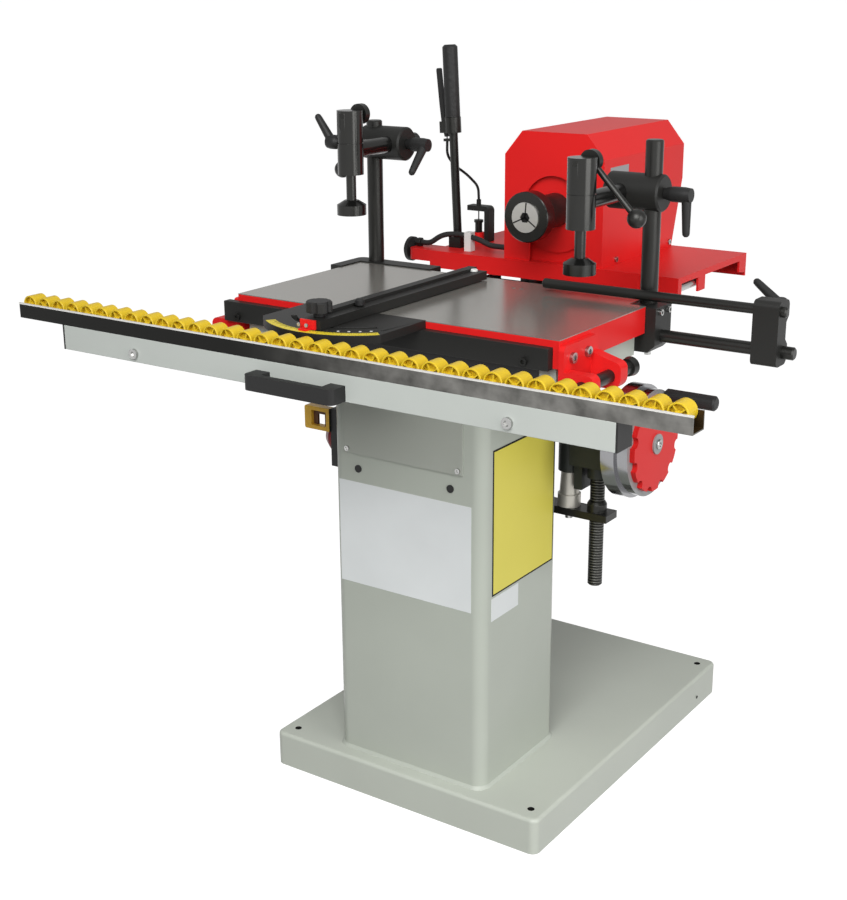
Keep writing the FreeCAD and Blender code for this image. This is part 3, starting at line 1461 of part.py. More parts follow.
# star knob with its clamping bolt
knob_seat = fence_top + n.part_gap
knob_top = n.knob_stem_height + n.knob_height
knob_shares = {"bevel": 0.4, "lobe_reach": 0.4}
knob_blank = turned("knob_blank", [
    (0, 0),
    (n.knob_stem_radius, 0),
    (n.knob_stem_radius, n.knob_stem_height),
    (n.knob_radius, n.knob_stem_height),
    (n.knob_radius, knob_top - n.knob_lobe * knob_shares["bevel"]),
    (n.knob_radius - n.knob_lobe * knob_shares["bevel"], knob_top),
    (0, knob_top),
], (-n.gauge_x, -knob_y, knob_seat))
knob_bolt = rod("knob_bolt", n.knob_bolt_radius, n.fence_thickness + gauge_height,
                (-n.gauge_x, -knob_y, knob_seat - n.fence_thickness - gauge_height))
knob_cuts = []
for place in range(5):
    angle = 2 * math.pi * place / 5
    reach = n.knob_radius + n.knob_lobe * knob_shares["lobe_reach"]
    spot = (-n.gauge_x + reach * round(math.cos(angle), 5), -knob_y + reach * round(math.sin(angle), 5),
            knob_seat + n.knob_stem_height - n.overrun)
    knob_cuts.append(rod("knob_lobe%d" % place, n.knob_lobe, n.knob_height + n.overrun * 2, spot))
keep(join("star_knob", [carve("knob_star", knob_blank, knob_cuts), knob_bolt]))

# front support: beam, end caps, handle, roller rail, rollers and rods
beam_back = n.beam_front - n.beam_depth
beam_end = n.beam_half - n.cap_thickness
beam_outer = rectangle((-n.beam_front, -beam_back), (n.beam_bottom, n.beam_top))
beam_inner = rectangle((-n.beam_front + n.beam_wall, -beam_back - n.beam_wall),
                       (n.beam_bottom + n.beam_wall, n.beam_top - n.beam_wall))
keep(slab("support_beam", "YZ", [beam_outer, beam_inner], -beam_end, beam_end))
fittings = []
for place, reach in enumerate(((-n.beam_half, -beam_end), (beam_end, n.beam_half))):
    fittings.append(box("beam_cap%d" % place, reach, (-n.beam_front, -beam_back),
                        (n.beam_bottom, n.beam_top)))
handle_face = n.beam_front + n.handle_reach
grip_back = handle_face - n.handle_bar
handle_round_share = 0.8
fittings.append(slab("support_handle", "XY", [[
    (-n.handle_left, -n.beam_front),
    (-n.handle_left, -handle_face, n.handle_bar * handle_round_share),
    (n.handle_right, -handle_face, n.handle_bar * handle_round_share),
    (n.handle_right, -n.beam_front),
    (n.handle_right - n.handle_foot, -n.beam_front),
    (n.handle_right - n.handle_foot, -grip_back),
    (-n.handle_left + n.handle_foot, -grip_back),
    (-n.handle_left + n.handle_foot, -n.beam_front),
]], n.handle_bottom, n.handle_bottom + n.handle_height))
keep(group("beam_fittings", fittings))

rail_back = n.beam_front - n.rail_depth
rail_top = n.beam_top + n.rail_height
channel = slab("roller_rail", "YZ", [[
    (-n.beam_front, n.beam_top),
    (-rail_back, n.beam_top),
    (-rail_back, rail_top),
    (-rail_back - n.rail_wall, rail_top),
    (-rail_back - n.rail_wall, n.beam_top + n.rail_wall),
    (-n.beam_front + n.rail_wall, n.beam_top + n.rail_wall),
    (-n.beam_front + n.rail_wall, rail_top),
    (-n.beam_front, rail_top),
]], -n.rail_half, n.rail_half)
rollers = []
roller_count = 36
roller_front = n.beam_front - (n.rail_depth - n.roller_length) / 2
pin_reach = (n.rail_depth - n.roller_length) / 2 - n.rail_wall
for place in range(roller_count):
    x = -n.roller_first + n.roller_pitch * place
    rollers.append(turned("roller%d" % place, [
        (0, -pin_reach),
        (n.roller_pin_radius, -pin_reach),
        (n.roller_pin_radius, n.roller_recess),
        (n.roller_radius - n.roller_rim, n.roller_recess),
        (n.roller_radius - n.roller_rim, 0),
        (n.roller_radius, 0),
        (n.roller_radius, n.roller_length),
        (n.roller_pin_radius, n.roller_length),
        (n.roller_pin_radius, n.roller_length + pin_reach),
        (0, n.roller_length + pin_reach),
    ], (x, -roller_front, n.roller_level), "Y"))
keep(channel)
keep(group("rollers", rollers))

cap_neck_share = 0.9
support_rods = []
rod_length = beam_back - n.support_rod_end
for side in (-1, 1):
    x = support_rod_x * side
    support_rods.append(turned("support_rod%d" % side, [
        (0, 0),
        (n.support_rod_radius, 0),
        (n.support_rod_radius, rod_length),
        (n.support_cap_radius * cap_neck_share, rod_length),
        (n.support_cap_radius, rod_length + n.support_cap_length),
        (0, rod_length + n.support_cap_length),
    ], (x, -beam_back, n.support_rod_level), "Y"))
    support_rods.append(screw("support_bolt%d" % side, n.support_bolt_radius, n.screw_height,
                              (x, -n.beam_front, n.support_rod_level), "-Y"))
keep(group("support_rods", support_rods))

# cross carriage between the cross rods and the guide rods
carriage_low = box("carriage_low", (-n.carriage_half, n.carriage_half), (n.carriage_front, n.carriage_back),
                   (n.carriage_bottom, n.carriage_step))
carriage_high = box("carriage_high", (-n.carriage_half, n.carriage_half), (n.bushing_front, n.bushing_back),
                    (n.carriage_step, n.carriage_top))
slide_bores = []
for place, y in enumerate((n.cross_rod_front, n.cross_rod_back)):
    slide_bores.append(rod("slide_bore%d" % place, n.cross_rod_radius + n.running_gap,
                           n.carriage_half * 2 + n.overrun * 2,
                           (-n.carriage_half - n.overrun, y, n.cross_rod_level), "X"))
for side in (-1, 1):
    slide_bores.append(rod("guide_bore%d" % side, n.guide_rod_radius + n.running_gap,
                           n.bushing_back - n.bushing_front + n.overrun * 2,
                           (n.guide_rod_x * side, n.bushing_front - n.overrun, n.guide_rod_level), "Y"))
keep(carve("x_carriage", join("slide_body", [carriage_low, carriage_high]), slide_bores))

# head plate: a folded sheet with skirts, the side arm and the guide of the index plunger
sheet_low = n.plate_top - n.plate_thickness
skin = n.plate_thickness
plate_pieces = [
    box("plate_sheet", (-n.plate_left, n.plate_half), (n.plate_front, n.plate_back),
        (sheet_low, n.plate_top)),
    box("plate_front_skirt", (-n.plate_left, n.plate_half), (n.plate_front, n.plate_front + skin),
        (n.plate_skirt, n.plate_top)),
    box("plate_back_skirt_wall", (-n.plate_left, n.plate_half), (n.plate_back - skin, n.plate_back),
        (n.plate_back_skirt, n.plate_top)),
    box("plate_left_skirt", (-n.plate_left, -n.plate_left + skin), (n.plate_front, n.plate_back),
        (n.plate_skirt, n.plate_top)),
    slab("plate_right_skirt", "YZ", [[
        (n.plate_front, n.plate_skirt),
        (n.cut_one_front, n.plate_skirt),
        (n.cut_one_front, n.plate_cut_top),
        (n.cut_one_back, n.plate_cut_top),
        (n.cut_one_back, n.plate_lug),
        (n.cut_two_front, n.plate_lug),
        (n.cut_two_front, n.plate_cut_top),
        (n.cut_two_back, n.plate_cut_top),
        (n.cut_two_back, n.plate_skirt),
        (n.plate_back, n.plate_lug),
        (n.plate_back, n.plate_top),
        (n.plate_front, n.plate_top),
    ]], n.plate_half - skin, n.plate_half),
    slab("side_arm", "XY", [[
        (-n.side_arm_left, n.plate_front, n.side_arm_round),
        (-n.side_arm_right, n.plate_front),
        (-n.side_arm_right, n.side_arm_back),
        (-n.side_arm_left, n.side_arm_back, n.side_arm_round),
    ]], n.side_arm_bottom, n.plate_top),
    rod("index_guide", n.index_guide_radius, n.index_guide_height,
        (-n.index_x, n.cable_bracket_y, n.plate_top)),
]
index_bore = rod("index_bore", n.index_radius + n.running_gap,
                 n.index_guide_height + n.overrun * 2,
                 (-n.index_x, n.cable_bracket_y, n.plate_top))
keep(carve("head_plate", join("plate_body", plate_pieces), [index_bore]))

inner_front = n.plate_front + skin
guide_rods = []
for side in (-1, 1):
    guide_rods.append(rod("guide_rod%d" % side, n.guide_rod_radius, n.plate_back - skin - inner_front,
                          (n.guide_rod_x * side, inner_front, n.guide_rod_level), "Y"))
guide_rods.append(rod("depth_rod", n.depth_rod_radius, n.depth_rod_back - inner_front,
                      (n.depth_rod_x, inner_front, n.depth_rod_level), "Y"))
keep(group("guide_rods", guide_rods))
arm_knob_shares = {"seat": 0.5, "rise": 0.3, "shoulder": 0.8, "crown": 0.85}
keep(turned("arm_knob", [
    (0, 0),
    (n.arm_knob_radius * arm_knob_shares["seat"], 0),
    (n.arm_knob_radius, n.arm_knob_height * arm_knob_shares["rise"]),
    (n.arm_knob_radius, n.arm_knob_height * arm_knob_shares["shoulder"]),
    (n.arm_knob_radius * arm_knob_shares["crown"], n.arm_knob_height),
    (0, n.arm_knob_height),
], (-n.side_arm_left - n.part_gap, (n.plate_front + n.side_arm_back) / 2, n.arm_knob_level), "-X"))


# hood: a folded sheet box with chamfered shoulders and a slanted back
corner_share = 0.41


def hood_form(name, inset, base):
    half = n.hood_half - inset
    flat = n.hood_flat - inset * corner_share
    low = n.hood_shoulder - inset * corner_share
    high = n.hood_top - inset
    across = slab(name + "_across", "XZ", [[
        (n.spindle_x - half, base),
        (n.spindle_x + half, base),
        (n.spindle_x + half, low),
        (n.spindle_x + flat, high),
        (n.spindle_x - flat, high),
        (n.spindle_x - half, low),
    ]], n.hood_front + inset, n.hood_back)
    along = slab(name + "_along", "YZ", [[
        (n.hood_front + inset, base),
        (n.hood_back_foot - inset, base),
        (n.hood_back - inset, n.hood_back_low),
        (n.hood_back - inset, high),
        (n.hood_front + inset, high),
    ]], n.spindle_x - n.hood_half, n.spindle_x + n.hood_half)
    return shared(name, [across, along])


hood_cuts = [
    hood_form("hood_inside", n.hood_wall, n.plate_top - n.overrun),
    rod("hood_opening", n.hood_opening, n.hood_wall + n.overrun * 2,
        (n.spindle_x, n.hood_front - n.overrun, n.spindle_level), "Y"),
    box("hood_slot", (n.spindle_x - n.hood_slot_half, n.spindle_x + n.hood_slot_half),
        (n.hood_front - n.overrun, n.hood_front + n.hood_wall + n.overrun),
        (n.plate_top - n.overrun, n.spindle_level)),
]
hood_shell = carve("hood_shell", hood_form("hood_outside", 0, n.plate_top), hood_cuts)
hood_screws = []
for side in (-1, 1):
    for place, y in enumerate((n.hood_screw_front, n.hood_screw_back)):
        spot = (n.spindle_x + n.hood_half * side, y, n.hood_screw_level)
        hood_screws.append(screw("hood_screw%d%d" % (side, place), n.hood_screw_radius, n.hood_wall, spot,
                                 "X" if side > 0 else "-X"))
keep(group("hood", [hood_shell] + hood_screws))

# motor with its front nose and feet
spindle_bore = n.spindle_radius + n.running_gap
motor_body = turned("motor_body", [
    (spindle_bore, 0),
    (n.nose_radius, 0, n.nose_round),
    (n.nose_radius, n.motor_front - n.nose_front),
    (n.motor_radius, n.motor_front - n.nose_front),
    (n.motor_radius, n.motor_back - n.nose_front),
    (0, n.motor_back - n.nose_front),
    (0, n.spindle_depth + n.overrun),
    (spindle_bore, n.spindle_depth + n.overrun),
], (n.spindle_x, n.nose_front, n.spindle_level), "Y")
motor_feet = box("motor_feet", (n.spindle_x - n.motor_foot_half, n.spindle_x + n.motor_foot_half),
                 (n.motor_front + n.nose_round, n.motor_back - n.nose_round),
                 (n.plate_top, n.spindle_level - n.nose_radius))
keep(join("motor", [motor_body, motor_feet]))

# chuck with its jaw ring and spindle
chuck_length = n.nose_front - n.part_gap - n.chuck_front
neck_start = chuck_length - n.chuck_neck
chuck_body = turned("chuck_body", [
    (0, n.tool_depth),
    (n.tool_radius, n.tool_depth),
    (n.tool_radius, n.chuck_neck),
    (n.jaw_radius, n.chuck_neck),
    (n.jaw_radius, 0),
    (n.chuck_radius - n.chuck_bevel, 0),
    (n.chuck_radius, n.chuck_bevel),
    (n.chuck_radius, neck_start - n.chuck_bevel),
    (n.chuck_neck_radius, neck_start + n.chuck_bevel),
    (n.chuck_neck_radius, chuck_length),
    (n.spindle_radius, chuck_length),
    (n.spindle_radius, chuck_length + n.spindle_depth),
    (0, chuck_length + n.spindle_depth),
], (n.spindle_x, n.chuck_front, n.spindle_level), "Y")
jaw_blank = rod("jaw_blank", n.jaw_radius, n.chuck_neck + n.jaw_rise,
                (n.spindle_x, n.chuck_front - n.jaw_rise, n.spindle_level), "Y")
tool_bore = rod("tool_bore", n.tool_radius, n.chuck_neck + n.jaw_rise + n.overrun * 2,
                (n.spindle_x, n.chuck_front - n.jaw_rise - n.overrun, n.spindle_level), "Y")
keep(group("chuck", [chuck_body, carve("chuck_jaws", jaw_blank, [tool_bore])]))


# everything on the operating lever is built upright and leaned to the left about the lever's foot
def lean(thing):
    thing.Placement = FreeCAD.Placement(
        FreeCAD.Vector(-n.lever_x.value, n.lever_y.value, n.plate_top.value),
        FreeCAD.Rotation(FreeCAD.Vector(0, 1, 0), -n.lever_lean.value))
    for axis, place in zip("xyz", (-n.lever_x, n.lever_y, n.plate_top)):
        thing.setExpression("Placement.Base." + axis, place.text)
    thing.setExpression("Placement.Rotation.Angle", (-n.lever_lean).text)
    return thing


pivot_x = n.hand_lever_offset
pivot_z = n.hand_lever_pivot
half = n.hand_lever_half
lever_shares = {"eye": 1.75, "pin": 0.6, "lug": 0.8, "tail": 0.7, "round": 0.8}
hinge_radius = half * lever_shares["eye"]
hinge_pin = half * lever_shares["pin"]
ear_half = half + n.part_gap + n.ear_wall
lever_stem = rod("lever_stem", n.lever_radius, n.lever_length - n.overrun, (0, 0, n.overrun))
lever_clamp = rod("lever_clamp", n.grip_clamp_half, n.grip_start - n.grip_clamp_start - n.part_gap,
                  (0, 0, n.grip_clamp_start))
lever_ear = box("lever_ear", (-pivot_x - hinge_radius, -n.lever_radius), (-ear_half, ear_half),
                (n.grip_clamp_start, pivot_z + hinge_radius))
ear_slot = box("ear_slot", (-pivot_x - hinge_radius - n.overrun, -n.lever_radius - n.part_gap),
               (-half - n.part_gap, half + n.part_gap),
               (n.grip_clamp_start - n.overrun, n.grip_start))
clamp_fork = carve("clamp_fork", join("clamp_body", [lever_clamp, lever_ear]), [ear_slot])
ear_pin = rod("ear_pin", hinge_pin, ear_half * 2, (-pivot_x, -ear_half, pivot_z), "Y")
wire_lug = box("wire_lug", (-n.hand_lever_tail - n.wire_lug_half, -n.lever_radius * lever_shares["lug"]),
               (-n.wire_lug_half, n.wire_lug_half), (n.wire_lug_level, n.wire_lug_level + n.wire_lug_half))
lever_upper = lean(join("lever_upper", [lever_stem, clamp_fork, ear_pin, wire_lug]))
lever_foot = box("lever_foot", (-n.lever_x - n.lever_foot_half, -n.lever_x + n.lever_foot_half),
                 (n.lever_y - n.lever_foot_half, n.lever_y + n.lever_foot_half),
                 (n.plate_top, n.plate_top + n.lever_foot_height))
keep(join("lever_tube", [lever_foot, lever_upper]))
grip_end = n.lever_length + n.hand_lever_half
keep(lean(turned("lever_grip", [
    (n.lever_radius, n.grip_start),
    (n.grip_radius, n.grip_start),
    (n.grip_radius, grip_end - n.hand_lever_half),
    (n.grip_radius - n.hand_lever_half, grip_end),
    (0, grip_end),
    (0, n.lever_length),
    (n.lever_radius, n.lever_length),
])))
lever_blade = slab("lever_blade", "XZ", [[
    (half * lever_shares["tail"] - n.hand_lever_tail, n.hand_lever_low),
    (half - pivot_x, pivot_z),
    (half - n.hand_lever_mid, n.hand_lever_bend),
    (half - n.hand_lever_tip, n.hand_lever_top, half * lever_shares["round"]),
    (-half - n.hand_lever_tip, n.hand_lever_top, half * lever_shares["round"]),
    (-half - n.hand_lever_mid, n.hand_lever_bend),
    (-half - pivot_x, pivot_z),
    (-half * lever_shares["tail"] - n.hand_lever_tail, n.hand_lever_low),
]], -half, half)
lever_eye = rod("lever_eye", hinge_radius - n.part_gap, half * 2, (-pivot_x, -half, pivot_z), "Y")
eye_bore = rod("eye_bore", hinge_pin + n.running_gap, half * 4, (-pivot_x, -half * 2, pivot_z), "Y")
wire_end = rod("wire_end", n.wire_radius, n.hand_lever_low - n.wire_lug_level - n.wire_lug_half,
               (-n.hand_lever_tail, 0, n.wire_lug_level + n.wire_lug_half + n.part_gap))
lever_blank = join("lever_blank", [lever_blade, lever_eye, wire_end])
keep(lean(carve("hand_lever", lever_blank, [eye_bore])))

# cable fittings: bracket of the release wire, gland and clip of the motor cable
cable_bore = n.motor_cable_radius + n.running_gap
wire_room_share = 1.6
wire_room = n.wire_radius * wire_room_share
bracket_low = n.cable_bracket_top - n.cable_bracket_thickness
release_bracket = slab("release_bracket", "XZ", [[
    (-n.cable_bracket_left, bracket_low),
    (-n.cable_bracket_right - n.cable_bracket_thickness, bracket_low),
    (-n.cable_bracket_right - n.cable_bracket_thickness, n.plate_top),
    (-n.cable_bracket_right, n.plate_top),
    (-n.cable_bracket_right, n.cable_bracket_top, n.cable_bracket_corner),
    (-n.cable_bracket_left, n.cable_bracket_top),
]], n.cable_bracket_y - n.cable_bracket_half, n.cable_bracket_y + n.cable_bracket_half)
wire_collar = rod("wire_collar", n.collar_radius, n.collar_height,
                  (-n.index_x, n.cable_bracket_y, n.cable_bracket_top))
wire_bore = rod("wire_bore", wire_room, n.cable_bracket_thickness + n.collar_height + n.overrun * 2,
                (-n.index_x, n.cable_bracket_y, bracket_low - n.overrun))
release_guide = carve("release_guide", join("release_body", [release_bracket, wire_collar]), [wire_bore])
gland = document.addObject("Part::Prism", "cable_gland")
gland.setExpression("Circumradius", n.gland_radius.text)
gland.setExpression("Height", n.gland_height.text)
hex_share = 0.8661
cable_level = n.plate_top + n.gland_radius * hex_share
put(gland, (-n.gland_x - n.gland_height, n.gland_y, cable_level), "X", 30.0)
clip = box("cable_clip", (-n.clip_x - n.clip_half, -n.clip_x + n.clip_half),
           (n.clip_y - n.clip_thickness / 2, n.clip_y + n.clip_thickness / 2),
           (n.plate_top, n.plate_top + n.clip_height))


def route(shares):
    return [tuple(share * n.cable_unit.value for share in point) for point in shares]


motor_cable_shares = [
    (-2.87, 1.46, 8.718),
    (-2.68, 1.46, 8.718),
    (-2.42, 1.50, 8.90),
    (-2.10, 1.56, 8.93),
    (-1.60, 1.46, 8.89),
    (-1.34, 1.46, 8.79),
    (-0.908, 1.46, 8.79),
]
release_cable_shares = [
    (-2.501, 1.78, 10.595),
    (-2.52, 1.80, 10.34),
    (-2.51, 2.02, 10.13),
    (-2.43, 2.36, 9.92),
    (-2.32, 2.58, 9.68),
    (-2.32, 2.60, 9.43),
]
clip_bore = strut("clip_bore", cable_bore, *[[n.cable_unit * share for share in point]
                                            for point in motor_cable_shares[3:5]])
keep(group("cable_fittings", [release_guide, gland, carve("clip_body", clip, [clip_bore])]))
keep(cord("motor_cable", n.motor_cable_radius, route(motor_cable_shares)))
keep(cord("bowden_cable", n.bowden_radius, route(release_cable_shares)))

# index plunger in its guide, with the wire end that lifts it
index_foot = n.plate_top + n.part_gap
index_head_low = n.index_top - n.index_head_height
wire_top = n.cable_bracket_top - n.part_gap
keep(turned("index_plunger", [
    (0, 0),
    (n.index_radius, 0),
    (n.index_radius, index_head_low - index_foot),
    (n.index_head, index_head_low - index_foot),
    (n.index_head, n.index_top - index_foot),
    (n.wire_radius, n.index_top - index_foot),
    (n.wire_radius, wire_top - index_foot),
    (0, wire_top - index_foot),
], (-n.index_x, n.cable_bracket_y, index_foot)))


document.recompute()
faults = []
for thing in document.Objects:
    if "Invalid" in thing.State or "Error" in thing.State:
        faults.append(thing.Name + " " + str(thing.State))
for thing in nodes:
    if thing.Shape.isNull() or not thing.Shape.isValid():
        faults.append(thing.Name + " has no valid shape")
if faults:
    raise RuntimeError("; ".join(faults))
os.makedirs("parts", exist_ok=True)
for thing in nodes:
    thing.Label = thing.Name
    thing.Shape.exportStep(os.path.join("parts", thing.Label + ".step"))
    bounds = thing.Shape.BoundBox
    print("%-18s %7.1f cm3  x %.0f %.0f  y %.0f %.0f  z %.0f %.0f" % (
        thing.Label, thing.Shape.Volume / 1000, bounds.XMin, bounds.XMax, bounds.YMin, bounds.YMax,
        bounds.ZMin, bounds.ZMax))
print(len(nodes), "nodes")
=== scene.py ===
import math

import bmesh
import bpy
from mathutils import Matrix, Vector


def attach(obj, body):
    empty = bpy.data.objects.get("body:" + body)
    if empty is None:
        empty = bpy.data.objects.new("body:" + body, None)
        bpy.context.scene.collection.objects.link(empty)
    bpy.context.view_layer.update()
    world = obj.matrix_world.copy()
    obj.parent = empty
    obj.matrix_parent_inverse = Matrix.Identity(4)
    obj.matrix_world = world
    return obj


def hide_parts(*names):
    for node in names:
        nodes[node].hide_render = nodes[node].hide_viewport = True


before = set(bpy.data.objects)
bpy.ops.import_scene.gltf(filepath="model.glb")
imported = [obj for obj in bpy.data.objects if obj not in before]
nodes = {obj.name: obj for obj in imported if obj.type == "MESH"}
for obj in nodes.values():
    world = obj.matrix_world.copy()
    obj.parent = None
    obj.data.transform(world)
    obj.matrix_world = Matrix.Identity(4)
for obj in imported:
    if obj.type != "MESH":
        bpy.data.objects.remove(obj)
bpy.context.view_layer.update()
print("frame loaded")

scene = bpy.context.scene
seam = 0.00001  # points nearer than this are one


# materials

# a node group with its sockets: (label, kind, value) in, (label, kind) out
def newGroup(name, inputs, outputs):
    group = bpy.data.node_groups.new(name, "ShaderNodeTree")
    for label, kind, value in inputs:
        socket = group.interface.new_socket(name=label, in_out="INPUT", socket_type=kind)
        socket.default_value = value
    for label, kind in outputs:
        group.interface.new_socket(name=label, in_out="OUTPUT", socket_type=kind)
    inside = group.nodes.new("NodeGroupInput")
    outside = group.nodes.new("NodeGroupOutput")
    return group, inside, outside


# noise value where a spread begins and ends, for clouds and for brush marks
cloudSpread = (0.3, 0.7)
markSpread = (0.35, 0.65)


# cloudy tone change and faint dirt, used under paint and plastic
def makeToneGroup():
    group, inside, outside = newGroup("softTone", [
        ("Color", "NodeSocketColor", (0.5, 0.5, 0.5, 1)),
        ("Amount", "NodeSocketFloat", 0.06),
        ("Scale", "NodeSocketFloat", 6.0),
    ], [("Color", "NodeSocketColor")])
    place = group.nodes.new("ShaderNodeTexCoord")
    cloud = group.nodes.new("ShaderNodeTexNoise")
    cloud.inputs["Detail"].default_value = 4
    spread = group.nodes.new("ShaderNodeMapRange")
    spread.inputs["From Min"].default_value, spread.inputs["From Max"].default_value = cloudSpread
    low = group.nodes.new("ShaderNodeMath")
    low.operation = "SUBTRACT"
    low.inputs[0].default_value = 1.0
    shade = group.nodes.new("ShaderNodeHueSaturation")
    group.links.new(place.outputs["Object"], cloud.inputs["Vector"])
    group.links.new(inside.outputs["Scale"], cloud.inputs["Scale"])
    group.links.new(cloud.outputs["Fac"], spread.inputs["Value"])
    group.links.new(inside.outputs["Amount"], low.inputs[1])
    group.links.new(low.outputs[0], spread.inputs["To Min"])
    spread.inputs["To Max"].default_value = 1.0
    group.links.new(spread.outputs["Result"], shade.inputs["Value"])
    group.links.new(inside.outputs["Color"], shade.inputs["Color"])
    group.links.new(shade.outputs["Color"], outside.inputs["Color"])
    return group


# fine surface waves: orange peel on paint, grain on plastic and castings
def makeGrainGroup():
    group, inside, outside = newGroup("fineGrain", [
        ("Scale", "NodeSocketFloat", 400.0),
        ("Height", "NodeSocketFloat", 0.05),
    ], [("Normal", "NodeSocketVector")])
    place = group.nodes.new("ShaderNodeTexCoord")
    grain = group.nodes.new("ShaderNodeTexNoise")
    grain.inputs["Detail"].default_value = 3
    bump = group.nodes.new("ShaderNodeBump")
    bump.inputs["Distance"].default_value = 0.001
    group.links.new(place.outputs["Object"], grain.inputs["Vector"])
    group.links.new(inside.outputs["Scale"], grain.inputs["Scale"])
    group.links.new(grain.outputs["Fac"], bump.inputs["Height"])
    group.links.new(inside.outputs["Height"], bump.inputs["Strength"])
    group.links.new(bump.outputs["Normal"], outside.inputs["Normal"])
    return group


# long fine scratches along one axis, for ground and turned steel
def makeBrushGroup():
    group, inside, outside = newGroup("brushMarks", [
        ("Stretch", "NodeSocketVector", (4.0, 900.0, 900.0)),
        ("Low", "NodeSocketFloat", 0.22),
        ("High", "NodeSocketFloat", 0.4),
    ], [("Roughness", "NodeSocketFloat"), ("Normal", "NodeSocketVector")])
    place = group.nodes.new("ShaderNodeTexCoord")
    stretch = group.nodes.new("ShaderNodeVectorMath")
    stretch.operation = "MULTIPLY"
    marks = group.nodes.new("ShaderNodeTexNoise")
    marks.inputs["Scale"].default_value = 1.0
    marks.inputs["Detail"].default_value = 5
    spread = group.nodes.new("ShaderNodeMapRange")
    spread.inputs["From Min"].default_value, spread.inputs["From Max"].default_value = markSpread
    bump = group.nodes.new("ShaderNodeBump")
    bump.inputs["Strength"].default_value = 0.05
    bump.inputs["Distance"].default_value = 0.0005
    group.links.new(place.outputs["Object"], stretch.inputs[0])
    group.links.new(inside.outputs["Stretch"], stretch.inputs[1])
    group.links.new(stretch.outputs["Vector"], marks.inputs["Vector"])
    group.links.new(marks.outputs["Fac"], spread.inputs["Value"])
    group.links.new(inside.outputs["Low"], spread.inputs["To Min"])
    group.links.new(inside.outputs["High"], spread.inputs["To Max"])
    group.links.new(spread.outputs["Result"], outside.inputs["Roughness"])
    group.links.new(marks.outputs["Fac"], bump.inputs["Height"])
    group.links.new(bump.outputs["Normal"], outside.inputs["Normal"])
    return group


# painted reflection: a dark colour that gives way to the piece's own between start and end on X
def makeReflectionFadeGroup():
    group, inside, outside = newGroup("lengthFade", [
        ("Color", "NodeSocketColor", (0.5, 0.5, 0.5, 1)),
        ("Far Color", "NodeSocketColor", (0.1, 0.1, 0.1, 1)),
        ("Start", "NodeSocketFloat", -0.1),
        ("End", "NodeSocketFloat", 0.1),
    ], [("Color", "NodeSocketColor")])
    place = group.nodes.new("ShaderNodeTexCoord")
    split = group.nodes.new("ShaderNodeSeparateXYZ")
    spread = group.nodes.new("ShaderNodeMapRange")
    spread.interpolation_type = "SMOOTHSTEP"
    blend = group.nodes.new("ShaderNodeMix")
    blend.data_type = "RGBA"
    group.links.new(place.outputs["Object"], split.inputs["Vector"])
    group.links.new(split.outputs["X"], spread.inputs["Value"])
    group.links.new(inside.outputs["Start"], spread.inputs["From Min"])
    group.links.new(inside.outputs["End"], spread.inputs["From Max"])
    group.links.new(spread.outputs["Result"], blend.inputs["Factor"])
    group.links.new(inside.outputs["Far Color"], blend.inputs["A"])
    group.links.new(inside.outputs["Color"], blend.inputs["B"])
    group.links.new(blend.outputs["Result"], outside.inputs["Color"])
    return group


# rounded grooves across a screw that stands upright; their factor also sets painted highlights on
# the crests and painted shade in the grooves
def makeThreadGroup():
    group, inside, outside = newGroup("threadGrooves", [
        ("Scale", "NodeSocketFloat", 63.0),
    ], [("Factor", "NodeSocketFloat"), ("Normal", "NodeSocketVector")])
    place = group.nodes.new("ShaderNodeTexCoord")
    wave = group.nodes.new("ShaderNodeTexWave")
    wave.bands_direction = "Z"
    bump = group.nodes.new("ShaderNodeBump")
    bump.inputs["Strength"].default_value = 1.0
    bump.inputs["Distance"].default_value = 0.0016
    group.links.new(place.outputs["Object"], wave.inputs["Vector"])
    group.links.new(inside.outputs["Scale"], wave.inputs["Scale"])
    group.links.new(wave.outputs["Fac"], bump.inputs["Height"])
    group.links.new(wave.outputs["Fac"], outside.inputs["Factor"])
    group.links.new(bump.outputs["Normal"], outside.inputs["Normal"])
    return group


toneGroup = makeToneGroup()
reflectionFadeGroup = makeReflectionFadeGroup()
threadGroup = makeThreadGroup()
grainGroup = makeGrainGroup()
brushGroup = makeBrushGroup()


# a group placed in a material, with the values of its inputs
def useGroup(material, group, **values):
    node = material.node_tree.nodes.new("ShaderNodeGroup")
    node.node_tree = group
    for label, value in values.items():
        node.inputs[label].default_value = value
    return node


# roughness between and on the brush marks, as shares of the look's own
brushSpread = (0.8, 1.25)


# what a look has where it says nothing else, and the shader inputs that it sets
plain = {
    "tone": 0.06,
    "cloud": 6.0,
    "metallic": 0.0,
    "roughness": 0.4,
    "coat": 0.0,
    "coatRoughness": 0.15,
    "specular": 0.5,
    "grain": 0.04,
    "grainScale": 400.0,
}
shaderInputs = {
    "Metallic": "metallic",
    "Roughness": "roughness",
    "Coat Weight": "coat",
    "Coat Roughness": "coatRoughness",
    "Specular IOR Level": "specular",
}


